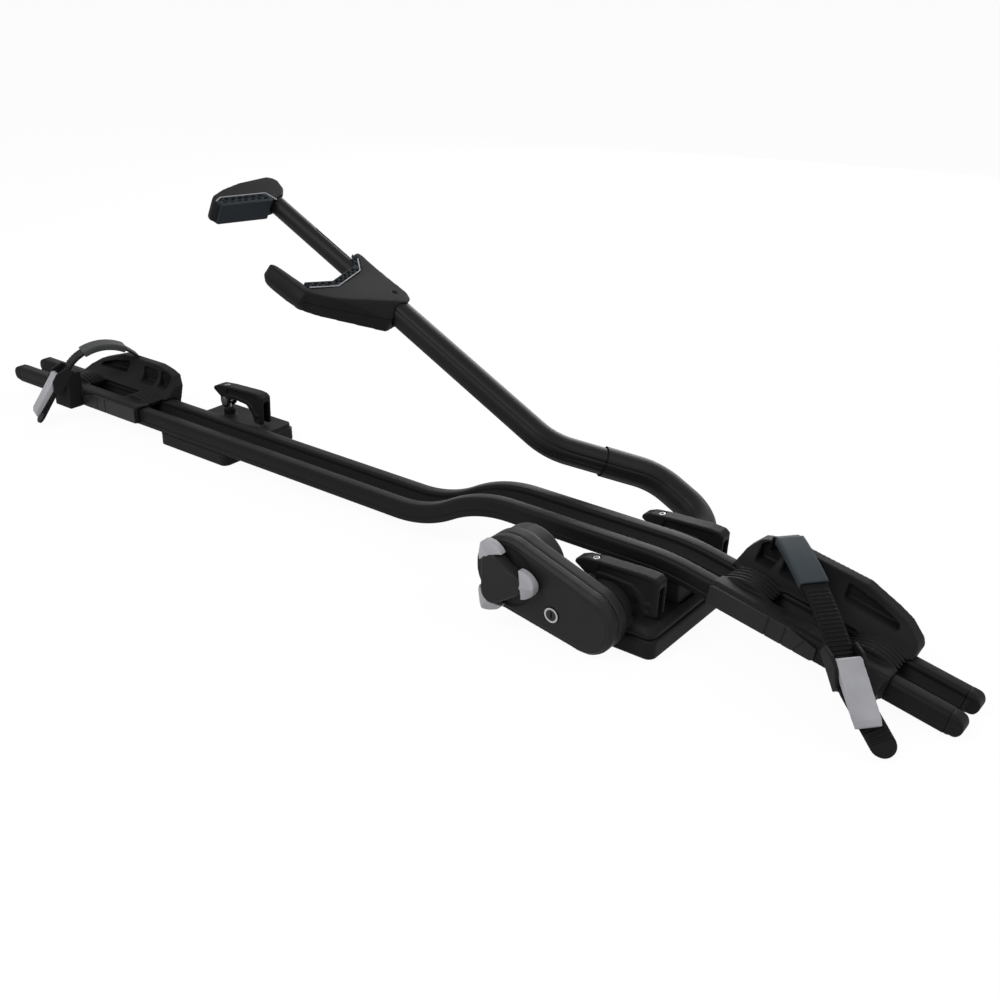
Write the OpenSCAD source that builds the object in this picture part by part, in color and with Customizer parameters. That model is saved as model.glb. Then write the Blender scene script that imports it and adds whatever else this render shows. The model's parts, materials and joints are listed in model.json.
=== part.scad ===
// Roof mounted bike carrier: a bent twin-ridge rail on two feet, with a folding arm that holds the
// bicycle frame in a jaw, and a strapped wheel holder at each end.
// +X runs along the rail to the front end, +Y to the far side, +Z up. The origin is on the underside
// of the front foot, below the arm's pivot.

/* [Rail] */
// Width of the rail
rail_w = 60; // [54:1:68]
// Height of the rail
rail_h = 22; // [20:1:26]
// Width of each of the two ridges
ridge_w = 17; // [15:0.5:19]
// Corner radius of the ridges
ridge_r = 4.5; // [2.5:0.5:6]
// Height of the gutter floor above the underside
gutter_floor = 8; // [7:0.5:10]
// Wall of the hollow rail
rail_wall = 2; // [1.5:0.1:2.5]
// Width of the slot along the underside
slot_w = 8; // [7:0.5:10]
// Width of the room above that slot
slot_room_w = 20; // [17:0.5:21]
// Straight length behind the double bend
rear_run = 749; // [740:1:800]
// Straight length over the front foot
mid_run = 170; // [166:1:180]
// Straight length ahead of the nose bend
front_run = 272; // [264:1:274]
// Distance from the arm's pivot back to the top of the double bend
mid_back = 160; // [150:1:164]
// Radius of the two arcs of the double bend
s_bend_r = 165; // [150:1:180]
// Angle of each arc of the double bend
s_bend_angle = 30; // [28:0.5:31]
// Radius of the nose bend
nose_bend_r = 240; // [180:5:260]
// Angle of the nose bend
nose_angle = 11.6; // [11:0.1:11.6]
// Height of the rail's underside over the front foot
rail_seat_z = 62; // [61:0.5:64]
// Length of an end cap
cap_len = 15; // [13:1:18]

/* [Front foot] */
// Length of the front foot along the rail
base_l = 112; // [108:1:113]
// Distance from the front T-bolts back to the foot's rear edge
bolt_margin = 29; // [27:0.5:29.5]
// Width of the front foot across the rail
base_w = 176; // [172:1:180]
// Height of the lower body
base_h = 22; // [21:0.2:22.4]
// Height of the cover above the lower body
cover_h = 12; // [10:0.5:13]
// Radius of the foot's upright corners
base_corner_r = 9; // [6:0.5:14]
// Bevel along the cover's upper edge
cover_bevel = 6; // [3:0.5:8]
// Thickness of the rubber pads
pad_t = 4; // [3:0.5:5]
// How far the pads stand proud of the feet
pad_proud = 0.8; // [0.4:0.1:1.5]
// Height of the arm's pivot
pivot_z = 37; // [36.8:0.1:38]
// Radius of the cross shaft
shaft_r = 14; // [13:0.1:14.1]
// Bore of the cross shaft
shaft_bore_r = 7; // [5:0.5:9]
// Wall of the two bushes
bush_wall = 3; // [2:0.5:4]
// Outer radius of the two bearing arches
arch_r = 30; // [26:0.5:32]
// Length of each bearing arch
arch_len = 14; // [12:0.5:15]
// Wall of the tunnel over the shaft
tunnel_wall = 2.6; // [2:0.1:2.8]
// How much shorter the saddle below the rail is than the foot
saddle_margin = 20; // [18:1:24]
// Width of the saddle
saddle_w = 50; // [44:1:54]
// Radius of the screws and bolts in the feet
screw_r = 3; // [2.5:0.1:3.2]

/* [Clamp levers] */
// Width of a clamp lever
lever_w = 16; // [15:0.5:17]
// Distance of the T-bolts behind the arm's pivot
bolt_back = 23; // [22.5:0.1:24]
// Distance of the front levers from the sides of the front foot
lever_inset = 25.5; // [25:0.5:27]
// Height of the lever pivots
lever_pivot_z = 57; // [56.5:0.1:58]
// Length of a lever ahead of its pivot
lever_len = 77; // [70:1:80]
// Height of a lever above its pivot
lever_top = 25; // [24:0.5:27]
// Largest radius of the lever's cam
cam_r = 11; // [10:0.1:11.2]
// How far the cam draws the bolt
cam_lift = 2.5; // [1.5:0.1:2.6]
// How far the lever opens
lever_open = 75; // [60:1:78]
// Radius of the T-bolt's shank
bolt_r = 3; // [2.5:0.1:3.2]
// Radius of the barrel nut
barrel_r = 6; // [5.5:0.1:6.4]
// Size of the T-bolt's head across the bar's slot
head_x = 19; // [18:0.5:19.5]
// Size of the T-bolt's head along the bar's slot
head_y = 26; // [22:1:28]
// Thickness of the T-bolt's head
head_t = 4; // [3:0.5:4.5]

/* [Rear foot] */
// Distance of the rear T-bolt behind the arm's pivot
rear_bolt_x = 714; // [708:1:720]
// Length of the rear foot
rear_l = 132; // [124:1:134]
// How far the rear foot reaches to the far side
rear_far = 95; // [90:1:100]
// Distance of the rear lever from the rear foot's far side
rear_lever_inset = 32.5; // [31:0.5:34]
// Height of the rear lever's pivot
rear_pivot_z = 46; // [45.5:0.1:48]
// Height of the rear foot beside the rail
rear_h = 24; // [20:1:28]

/* [Arm] */
// Angle of the arm above level, as it stands
arm_angle = 27; // [25:0.5:32]
// Reach of the cross shaft beyond the front foot
shaft_out = 8; // [6:0.5:12]
// Radius of the bend at the foot of the arm
elbow_r = 45; // [42:1:50]
// Straight length after that bend
elbow_run = 21; // [16:1:26]
// Radius of the two arcs of the arm's offset
offset_r = 60; // [50:1:70]
// Angle of the arm's offset
offset_angle = 41.5; // [40:0.5:43]
// Straight length between the two arcs
offset_run = 84; // [80:1:88]
// Length of that straight that belongs to the lower arm
lower_run = 43; // [38:1:48]
// Outer radius of the lower arm
lower_r = 17.4; // [17:0.1:18]
// Outer radius of the arm's tube
tube_r = 15.5; // [15.2:0.1:15.7]
// Inner radius of the arm's tube
tube_bore_r = 13.8; // [13.6:0.1:14]
// How far the tube is pushed into the lower arm
socket_len = 25; // [20:1:30]
// Reach of the tube along the arm
tube_end_s = 440; // [436:1:442]
// Radius of the grooves along the arm
groove_r = 1.6; // [1:0.1:2]

/* [Frame jaw] */
// Half thickness of the head at the tube
head_half = 18.3; // [18:0.1:19]
// Half thickness of the two jaws
jaw_half = 12.8; // [12.4:0.1:14]
// Position of the lower jaw's mouth along the arm
mouth_s = 495; // [492:1:498]
// Position of the upper jaw's gripping face
grip_s = 645; // [642:1:650]
// Length of the upper jaw along the arm
jaw_len = 45; // [43:1:50]
// Thickness of the rubber grips
grip_t = 16; // [12:1:17]
// Thickness of the lower jaw's rubber
lower_grip_t = 9; // [6:0.5:10]
// Radius of the sliding rod
rod_r = 11; // [10.5:0.1:11.2]
// Wall of the sliding rod
rod_wall = 3; // [2:0.5:5]
// Outer radius of the rod's guide
guide_r = 12.6; // [12.4:0.1:12.8]
// Reach of the rod's guide along the arm
guide_end_s = 480; // [474:1:482]
// Position of the rod's inner end along the arm
rod_start_s = 446; // [444:1:450]
// Distance that the upper jaw closes
jaw_travel = 120; // [100:1:125]
// Radius of the pull wire
wire_r = 1.2; // [0.8:0.1:1.6]

/* [Knob housing] */
// Distance of the knob behind the pivot
knob_x = 91; // [88:1:94]
// Height of the knob
knob_z = 60; // [58:0.5:62]
// Radius of the housing round the pivot
hub_end_r = 34; // [33:0.5:35]
// Radius of the housing round the knob
knob_end_r = 41; // [40:0.5:43]
// Gap between the front foot and the knob housing
housing_gap = 4; // [3:0.5:6]
// Depth of the housing's cover
cover_depth = 14; // [13:0.5:16]
// Thickness of the housing at the pivot
hub_depth = 28; // [27:0.5:29]
// Thickness of the housing at the knob
knob_depth = 48; // [44:1:50]
// Wall of the housing
housing_wall = 3; // [2.5:0.5:4]
// Reach of the knob's lobes
lobe_reach = 43; // [40:1:46]
// Radius of a lobe's tip
lobe_r = 15.5; // [12:0.5:16]
// Depth of the knob
knob_len = 17; // [15:1:22]
// Thickness of the pale grips on the lobes
lobe_grip_t = 16; // [8:1:18]
// Radius of the knob's spindle
spindle_r = 5; // [4:0.5:6]
// Radius of the wire drum
drum_r = 14; // [12:0.5:16]
// Radius of the lock's barrel
lock_r = 6; // [5:0.5:6.5]

/* [Wheel holders] */
// Position of the front holder's inner end on the front straight
front_holder_x = 26; // [22:1:30]
// Distance of the rear holder's inner end behind the pivot
rear_holder_x = 788; // [784:1:792]
// Length of a wheel holder
holder_l = 192; // [188:1:196]
// Length of a holder's near side
near_l = 188; // [182:1:190]
// Height of the far wing above the rail's underside
wing_h = 58; // [54:1:60]
// Wall of a holder beside the rail
holder_wall = 5.5; // [4:0.5:6]
// Outward reach of the far wing's rim
wing_rim_y = 52; // [48:1:54]
// Radius of the trough for the tyre
trough_r = 36; // [34:0.5:38]
// Radius of a tyre chock
chock_r = 45; // [40:1:50]
// Height of a tyre chock above the rail
chock_rise = 9; // [6:0.5:11]
// Thickness of a holder's near panel
panel_t = 2.5; // [2:0.5:3]
// Length of a holder's near panel
panel_l = 120; // [116:1:121]
// Height of a holder's near panel
panel_h = 25; // [23:0.5:26]

/* [Straps] */
// Width of a strap
strap_w = 25; // [22:1:27]
// Thickness of a strap
strap_t = 3.2; // [2.6:0.2:3.6]
// Height of a strap's teeth
tooth_h = 1.3; // [0.8:0.1:1.5]
// Spacing of a strap's teeth
tooth_pitch = 4.5; // [4:0.1:6]
// Thickness of a rim pad
rim_pad_t = 9; // [8:0.5:11]
// Length of a pump lever beyond its pin
pump_len = 60; // [52:1:64]
// Thickness of a pump lever
pump_t = 6.5; // [5:0.5:7]

/* [Fits] */
// Clearance of a part that turns or slides on another
running = 0.05; // [0.02:0.01:0.1]
// Clearance between parts that only pass each other
passing = 0.4; // [0.3:0.05:0.6]
// Clearance of a part that sits in another
seated = 0.1; // [0.02:0.01:0.2]

/* [Hidden] */
$fn = 96;
// Overshoot of a cutting shape
over = 1;
// Reach of a cutting block that clears everything beyond a plane
beyond = 400;
// Length of the rings where two legs of a run meet, and how far they stand proud
ring_t = 0.4;
ring = 0.03;

// Runs of straights [length, 0] and bends [radius, angle]; a positive angle bends towards local +Z.
rail_legs = [[rear_run, 0], [s_bend_r, s_bend_angle], [s_bend_r, -s_bend_angle], [mid_run, 0],
    [nose_bend_r, -nose_angle], [front_run, 0]];
to_front_legs = [for (i = [0:4]) rail_legs[i]];
rail_rise = 2 * s_bend_r * (1 - cos(s_bend_angle));
rail_rear_z = rail_seat_z - rail_rise;
rail_start_x = -mid_back - 2 * s_bend_r * sin(s_bend_angle) - rear_run;
ridge_y = (rail_w - ridge_w) / 2;
gutter_half = rail_w / 2 - ridge_w;
cover_z = base_h + cover_h;
tunnel_bore_r = shaft_r + passing;
bush_r = shaft_r + running + bush_wall;
arch_y = base_w / 2 - arch_len / 2;
bolt_x = -bolt_back;
lever_y = base_w / 2 - lever_inset;
rear_lever_y = rear_far - rear_lever_inset;
shaft_far = base_w / 2 + shaft_out;
face_y = base_w / 2 + housing_gap + hub_depth;
seat_boss_r = 8;
seat_drop = cam_r + passing;
hole_r = bolt_r + passing;
head_z = pad_proud + passing;
head_pocket_h = head_t + head_z + passing;
bolt_top = 8;
rail_bolt_xs = [-36, -22];
rail_bolt_z = rail_seat_z + gutter_floor;
rail_bolt_len = 22;
rail_bolt_head_r = 5.5;
rail_bolt_head_h = 3.5;
base_x = bolt_x - bolt_margin + base_l / 2;
saddle_l = base_l - saddle_margin;
base_screw_x = base_l / 2 - 14;
base_screw_y = base_w / 2 - 52;
base_screw_len = base_h + cover_h - 8;
base_screw_head_h = 4;
rear_x = -rear_bolt_x;
rear_mid_x = rear_x + 27;
rear_near = rail_w / 2;
knob_reach = norm([knob_x, knob_z - pivot_z]);
knob_tilt = atan2(knob_z - pivot_z, -knob_x);
split_y = -face_y + cover_depth;
hub_back_y = -face_y + hub_depth;
knob_back_y = -face_y + knob_depth;
hub_floor_y = hub_back_y - 6;
wire_y = hub_floor_y - 5;
wire_turn_r = 9;
drum_w = 8;
wire_length = sqrt(knob_reach * knob_reach - drum_r * drum_r);
wire_heading = atan2(pivot_z - knob_z, knob_x) + asin((drum_r + wire_r) / knob_reach);
lock_x = -36;
lock_z = 34.5;
lock_bezel_r = lock_r + 2;
lock_depth = 13;
elbow_legs = [[elbow_r, 90], [elbow_run, 0], [offset_r, offset_angle]];
lower_legs = concat(elbow_legs, [[lower_run, 0]]);
tube_legs = [[offset_run - lower_run + socket_len, 0], [offset_r, -offset_angle]];
tube_s = elbow_r + elbow_run + 2 * offset_r * sin(offset_angle) + offset_run * cos(offset_angle);
tube_y = shaft_far + elbow_r - 2 * offset_r * (1 - cos(offset_angle)) - offset_run * sin(offset_angle);
upper_run = tube_end_s - tube_s;
// Outline of the head in the arm's plane, as [along the arm, across]; the mouth is its middle.
mouth_far = [mouth_s + 13, tube_y - 6];
mouth_mid = [mouth_s, tube_y - 54];
mouth_near = [mouth_s + 10, tube_y - 90];
head_corner = [mouth_s + 31, tube_y + 7.5];
head_points = [[mouth_s - 71, tube_y - 22], [mouth_s - 67, tube_y + 6], [mouth_s - 62, tube_y + 14],
    [mouth_s - 52, tube_y + 18.5], [mouth_s + 27, tube_y + 20.6], [mouth_s + 32, tube_y + 19.4],
    [mouth_s + 33, tube_y + 16], head_corner, mouth_far, mouth_mid, mouth_near, [mouth_s + 46, tube_y - 97.2],
    [mouth_s + 52, tube_y - 99], [mouth_s + 55, tube_y - 102.5], [mouth_s + 54, tube_y - 106],
    [mouth_s + 49, tube_y - 108.2], [mouth_s + 36, tube_y - 108.5], [mouth_s + 14, tube_y - 106.5],
    [mouth_s - 2, tube_y - 102], [mouth_s - 18, tube_y - 88]];
head_screw_spots = [[mouth_s - 48, tube_y - 22], [mouth_s - 14, tube_y - 80], [mouth_s + 8, tube_y + 16.5]];
// Outline of the upper jaw, then of its rubber grip, in the same plane.
jaw_back_s = grip_s + jaw_len;
rod_end_s = jaw_back_s - 14;
wire_end_s = rod_end_s - rod_wall - jaw_travel - 20;
jaw_points = [[grip_s + 12, tube_y - 87], [grip_s + 19, tube_y - 91.5], [grip_s + 25, tube_y - 90],
    [grip_s + 32, tube_y - 82], [grip_s + 39, tube_y - 62], [jaw_back_s - 1, tube_y - 34],
    [jaw_back_s, tube_y + 12], [jaw_back_s - 4, tube_y + 19], [jaw_back_s - 11, tube_y + 22.5],
    [grip_s + 18, tube_y + 18], [grip_s + 7, tube_y + 8], [grip_s + 4, tube_y - 6], [grip_s + 3, tube_y - 14]];
grip_points = [[grip_s + 10, tube_y - 86], [grip_s, tube_y - 17], [grip_s + 3, tube_y - rod_r - 2],
    [grip_s + grip_t, tube_y - rod_r - 2], [grip_s + grip_t + 9, tube_y - 78], [grip_s + grip_t + 4, tube_y - 88]];
// A strap: its rise out of the far wing, the arcs and the tail, where its pad lies, its buckle, its tail's turn.
front_strap_spot = [122, 46];
front_strap_turn = -41.6;
front_strap_z = 90;
front_strap = [[12, 0], [9, -80], [330, -26], [64, 0]];
front_rise = 72;
front_pad_share = [0.01, 0.44];
front_buckle_shift = 4;
front_tail_turn = 13;
rear_strap_spot = [-887, 46];
rear_strap_turn = -112.3;
rear_strap_z = 78;
rear_strap = [[10, 0], [62, -10], [62, -87], [46, 0]];
rear_rise = 42;
rear_pad_share = [0.02, 0.66];
rear_buckle_shift = 16;
rear_tail_turn = 4;
buckle_l = 40;
buckle_wall = 3.5;
buckle_pin_r = 2.5;
buckle_pin_z = 8.5;
buckle_half = strap_w / 2 + passing;
front_block_x = 150;
front_block_l = 36;
rear_block_x = 122;
rear_block_l = 36;
near_low = 3;

// Rectangle with round corners, centred.
module rounded(w, h, r) {
    square([w - 2 * r, h], center = true);
    square([w, h - 2 * r], center = true);
    for (x = [-1, 1], y = [-1, 1])
        translate([x * (w / 2 - r), y * (h / 2 - r)])
            circle(r);
}

// Block with round upright edges, standing on local Z zero.
module rounded_block(l, w, h, r) {
    linear_extrude(h)
        rounded(l, w, r);
}

// Solid of an outline in X and Z between two places along Y.
module slab(y1, y2) {
    translate([0, y2, 0])
        rotate([90, 0, 0])
            linear_extrude(y2 - y1)
                children();
}

// Cylinder along Y between two places.
module rod_y(r, y1, y2) {
    slab(y1, y2)
        circle(r);
}

// One bend of a section, towards local +Z.
module bend(radius, angle) {
    translate([0, 0, radius])
        rotate([90, 90, 0])
            rotate_extrude(angle = angle)
                translate([radius, 0])
                    rotate(90)
                        children();
}

// Sweeps its first child along a run; its second, a hair thicker, makes a thin ring where two legs meet.
module run(legs, i = 0) {
    if (i < len(legs)) {
        if (legs[i][1] == 0)
            rotate([90, 0, 90])
                linear_extrude(legs[i][0])
                    children(0);
        else if (legs[i][1] > 0)
            bend(legs[i][0], legs[i][1])
                children(0);
        else
            mirror([0, 0, 1])
                bend(legs[i][0], -legs[i][1])
                    mirror([0, 1])
                        children(0);
        if (i + 1 < len(legs))
            step(legs[i]) {
                translate([-ring_t / 2, 0, 0])
                    rotate([90, 0, 90])
                        linear_extrude(ring_t)
                            children(1);
                run(legs, i + 1) {
                    children(0);
                    children(1);
                }
            }
    }
}

// Moves to the end of one leg.
module step(leg) {
    size = leg[0];
    angle = leg[1];
    side = sign(angle);
    if (angle == 0)
        translate([size, 0, 0])
            children();
    else
        translate([size * sin(abs(angle)), 0, side * size * (1 - cos(angle))])
            rotate([0, -angle, 0])
                children();
}

// Moves to the end of a run.
module after(legs, i = 0) {
    if (i < len(legs))
        step(legs[i])
            after(legs, i + 1)
                children();
    else
        children();
}

// The rail's own frame: along the rail from its rear end, at mid height.
module rail_frame() {
    translate([rail_start_x, 0, rail_rear_z + rail_h / 2])
        children();
}

// Outside of the rail's section, without its hollows.
module rail_outline(grow = 0) {
    slope = 5;
    foot_y = gutter_floor - rail_h / 2 - over;
    translate([0, (gutter_floor - rail_h) / 2])
        rounded(rail_w + 2 * grow, gutter_floor + 2 * grow, rail_wall + grow);
    for (side = [-1, 1]) {
        translate([side * ridge_y, 0])
            rounded(ridge_w + 2 * grow, rail_h + 2 * grow, ridge_r + grow);
        polygon([[side * (gutter_half + over), foot_y], [side * (gutter_half + over), rail_h / 2 - ridge_r + grow],
            [side * (gutter_half - slope - grow), foot_y]]);
    }
}

// Section of the hollow rail, with the slot along its underside.
module rail_section(grow = 0) {
    room_h = gutter_floor - 2 * rail_wall;
    difference() {
        rail_outline(grow);
        for (side = [-1, 1])
            translate([side * ridge_y, 0])
                rounded(ridge_w - 2 * rail_wall - 2 * grow, rail_h - 2 * rail_wall - 2 * grow,
                    ridge_r - rail_wall - grow);
        translate([0, rail_wall + room_h / 2 - rail_h / 2])
            square([slot_room_w - 2 * grow, room_h - 2 * grow], center = true);
        translate([0, -rail_h / 2])
            square([slot_w - 2 * grow, 2 * rail_wall + over], center = true);
    }
}

module rail() {
    color("#2c2d30")
        difference() {
            rail_frame()
                run(rail_legs) {
                    rail_section();
                    rail_section(ring);
                }
            for (x = rail_bolt_xs)
                translate([x, 0, rail_seat_z - over])
                    cylinder(r = screw_r + passing, h = gutter_floor + 2 * over);
        }
}

// End cap with a round nose on each ridge and plugs that sit in the ridges.
module end_cap() {
    plug_len = 12;
    web_t = 4;
    nose_r = rail_h / 2;
    rotate([90, 0, 90])
        linear_extrude(web_t)
            rail_outline();
    for (side = [-1, 1]) {
        intersection() {
            rotate([90, 0, 90])
                linear_extrude(cap_len)
                    translate([side * ridge_y, 0])
                        rounded(ridge_w, rail_h, ridge_r);
            union() {
                translate([cap_len - nose_r, 0, 0])
                    rod_y(nose_r, -rail_w, rail_w);
                translate([-over, -rail_w, -nose_r])
                    cube([cap_len - nose_r + over, 2 * rail_w, 2 * nose_r]);
            }
        }
        translate([-plug_len, 0, 0])
            rotate([90, 0, 90])
                linear_extrude(plug_len)
                    translate([side * ridge_y, 0])
                        rounded(ridge_w - 2 * rail_wall - 2 * seated, rail_h - 2 * rail_wall - 2 * seated,
                            ridge_r - rail_wall);
    }
}

module rear_end_cap() {
    color("#1d1e20")
        rail_frame()
            mirror([1, 0, 0])
                end_cap();
}

module front_end_cap() {
    color("#1d1e20")
        rail_frame()
            after(rail_legs)
                end_cap();
}

// Holes and pockets that a foot has for one T-bolt.
module t_bolt_hole() {
    translate([-head_x / 2 - passing, -head_y / 2 - passing, -over])
        cube([head_x + 2 * passing, head_y + 2 * passing, head_pocket_h + over]);
    cylinder(r = hole_r, h = lever_pivot_z);
}

// Places its children at the two T-bolts of the front foot.
module at_front_bolts() {
    for (side = [-1, 1])
        translate([bolt_x, side * lever_y, 0])
            children();
}

module shaft_tunnel(r) {
    translate([0, 0, pivot_z])
        rod_y(r, -base_w, base_w);
}

module bush_seats() {
    for (side = [-1, 1])
        translate([0, side * arch_y, pivot_z])
            rod_y(bush_r + seated, -arch_len / 2, arch_len / 2);
}

module at_base_screws() {
    for (x = [-1, 1], y = [-1, 1])
        translate([base_x + x * base_screw_x, y * base_screw_y, 0])
            children();
}

module front_base() {
    color("#232427")
        difference() {
            translate([base_x, 0, pad_proud])
                rounded_block(base_l, base_w, base_h - pad_proud, base_corner_r);
            translate([base_x, 0, -over])
                rounded_block(base_l - 2 * base_corner_r, base_w - 2 * base_corner_r, pad_t + over,
                    base_corner_r / 2);
            at_front_bolts()
                t_bolt_hole();
            at_base_screws()
                base_screw_hole();
            shaft_tunnel(tunnel_bore_r);
            bush_seats();
        }
}

module base_screw_hole() {
    translate([0, 0, pad_t - over])
        cylinder(r = 2 * screw_r, h = base_screw_head_h + over);
    cylinder(r = screw_r + seated, h = pad_t + base_screw_len + over);
}

module base_cover() {
    tunnel_r = tunnel_bore_r + tunnel_wall;
    inner_half = base_w / 2 - arch_len;
    color("#2a2b2e")
        difference() {
            union() {
                translate([base_x, 0, base_h])
                    rounded_block(base_l - 2, base_w - 2, cover_h - cover_bevel, base_corner_r);
                translate([base_x, 0, cover_z - cover_bevel])
                    rounded_block(base_l - cover_bevel, base_w - cover_bevel, cover_bevel / 2, base_corner_r);
                translate([base_x, 0, cover_z - cover_bevel / 2])
                    rounded_block(base_l - 2 * cover_bevel, base_w - 2 * cover_bevel, cover_bevel / 2,
                        base_corner_r);
                intersection() {
                    translate([0, 0, pivot_z])
                        for (side = [-1, 1])
                            translate([0, side * arch_y, 0])
                                rod_y(arch_r, -arch_len / 2, arch_len / 2);
                    translate([base_x - base_l / 2, -base_w / 2, base_h])
                        cube([base_l, base_w, beyond]);
                }
                intersection() {
                    translate([0, 0, pivot_z])
                        rod_y(tunnel_r, -inner_half - over, inner_half + over);
                    translate([base_x - base_l / 2, -base_w / 2, base_h])
                        cube([base_l, base_w, beyond]);
                }
                at_front_bolts()
                    translate([0, 0, base_h])
                        cylinder(r = seat_boss_r, h = lever_pivot_z - seat_drop - base_h);
            }
            shaft_tunnel(tunnel_bore_r);
            bush_seats();
            at_front_bolts()
                cylinder(r = hole_r, h = lever_pivot_z);
            at_base_screws()
                cylinder(r = screw_r + seated, h = pad_t + base_screw_len + over);
            translate([base_x - saddle_l / 2 - seated, -saddle_w / 2 - seated, cover_z - cover_bevel / 2])
                cube([saddle_l + 2 * seated, saddle_w + 2 * seated, beyond]);
        }
}

module base_pad() {
    color("#111214")
        difference() {
            translate([base_x, 0, 0])
                rounded_block(base_l - 2 * base_corner_r - 2 * seated, base_w - 2 * base_corner_r - 2 * seated,
                    pad_t, base_corner_r / 2);
            at_front_bolts()
                t_bolt_hole();
        }
}

module base_screws() {
    color("#8d9096")
        at_base_screws() {
            translate([0, 0, pad_t])
                cylinder(r = 2 * screw_r - seated, h = base_screw_head_h - over);
            translate([0, 0, pad_t])
                cylinder(r = screw_r, h = base_screw_len);
        }
}

module pivot_bushes() {
    color("#d7d3c6")
        for (side = [-1, 1])
            translate([0, side * arch_y, pivot_z])
                difference() {
                    rod_y(bush_r, -arch_len / 2, arch_len / 2);
                    rod_y(shaft_r + running, -arch_len, arch_len);
                }
}

module rail_saddle() {
    color("#1f2022")
        difference() {
            translate([base_x - saddle_l / 2, -saddle_w / 2, cover_z - cover_bevel / 2])
                cube([saddle_l, saddle_w, rail_seat_z + rail_h - cover_z]);
            rail_frame()
                run(rail_legs) {
                    translate([0, rail_h / 2 - seated])
                        square([rail_w, 2 * rail_h], center = true);
                    translate([0, rail_h / 2 - seated])
                        square([rail_w, 2 * (rail_h + ring)], center = true);
                }
            shaft_tunnel(tunnel_bore_r + tunnel_wall + seated);
            for (x = rail_bolt_xs)
                translate([x, 0, 0])
                    cylinder(r = screw_r + seated, h = beyond);
        }
}

module rail_bolts() {
    color("#8d9096")
        for (x = rail_bolt_xs)
            translate([x, 0, rail_bolt_z]) {
                difference() {
                    cylinder(r = rail_bolt_head_r, h = rail_bolt_head_h);
                    translate([0, 0, rail_bolt_head_h / 2])
                        cylinder(r = screw_r, h = rail_bolt_head_h, $fn = 6);
                }
                translate([0, 0, -rail_bolt_len])
                    cylinder(r = screw_r, h = rail_bolt_len);
            }
}

// Clamp lever about its pivot: two cheeks below a top plate, a cam round the pivot, a forked end.
module lever() {
    plate_t = 4.5;
    slot_half = bolt_r + 1.5;
    low = -19;
    beak = 21;
    cam_points = [for (turn = [0:5:lever_open + 45])
        (cam_r - cam_lift * min(turn, lever_open) / lever_open) * [cos(-90 - turn), sin(-90 - turn)]];
    outline = concat(cam_points,
        [[-beak, lever_top - 12], [-beak + 1, lever_top - 8], [-beak + 11, lever_top - 4],
        [lever_len - 67, lever_top - 2], [lever_len - 17, lever_top], [lever_len - 5, lever_top - 1],
        [lever_len, lever_top - 5], [lever_len - 2, low + 2], [lever_len - 6, low], [lever_len - 19, low],
        [lever_len - 23, low + 13], [lever_len - 33, low + 23], [lever_len - 57, low + 25],
        [cam_r, low + 22], [7, -6]]);
    difference() {
        slab(-lever_w / 2, lever_w / 2)
            polygon(outline);
        slab(-slot_half, slot_half)
            polygon([[-beak + 8, -beak], [-beak + 8, lever_top - 4 - plate_t - 4],
                [lever_len - 67, lever_top - 2 - plate_t], [lever_len - 17, lever_top - plate_t - 1],
                [lever_len + over, lever_top - plate_t - 8], [lever_len + over, -beak]]);
        rod_y(barrel_r + running, -lever_w, lever_w);
        cylinder(r = bolt_r + 1, h = beyond);
    }
}

module barrel_nut() {
    difference() {
        rod_y(barrel_r, -lever_w / 2, lever_w / 2);
        translate([0, 0, -barrel_r - over])
            cylinder(r = bolt_r + seated, h = 2 * barrel_r + 2 * over);
    }
}

// T-bolt standing on its axis, with its head drawn up into the foot.
module t_bolt(lever_z) {
    translate([-head_x / 2, -head_y / 2, head_z])
        cube([head_x, head_y, head_t]);
    translate([0, 0, head_z])
        cylinder(r = bolt_r, h = lever_z + bolt_top - head_z);
}

module near_lever() {
    color("#26272a")
        translate([bolt_x, -lever_y, lever_pivot_z])
            lever();
}

module near_barrel_nut() {
    color("#9a9da3")
        translate([bolt_x, -lever_y, lever_pivot_z])
            barrel_nut();
}

module near_t_bolt() {
    color("#9a9da3")
        translate([bolt_x, -lever_y, 0])
            t_bolt(lever_pivot_z);
}

module far_lever() {
    color("#26272a")
        translate([bolt_x, lever_y, lever_pivot_z])
            lever();
}

module far_barrel_nut() {
    color("#9a9da3")
        translate([bolt_x, lever_y, lever_pivot_z])
            barrel_nut();
}

module far_t_bolt() {
    color("#9a9da3")
        translate([bolt_x, lever_y, 0])
            t_bolt(lever_pivot_z);
}

module at_rear_screws() {
    for (x = [-1, 1])
        translate([rear_mid_x + x * rear_l / 4, 0, 0])
            children();
}

module rear_foot_outline(inset) {
    translate([rear_mid_x, (rear_far - rear_near) / 2, 0])
        rounded(rear_l - 2 * inset, rear_far + rear_near - 2 * inset, base_corner_r);
}

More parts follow.
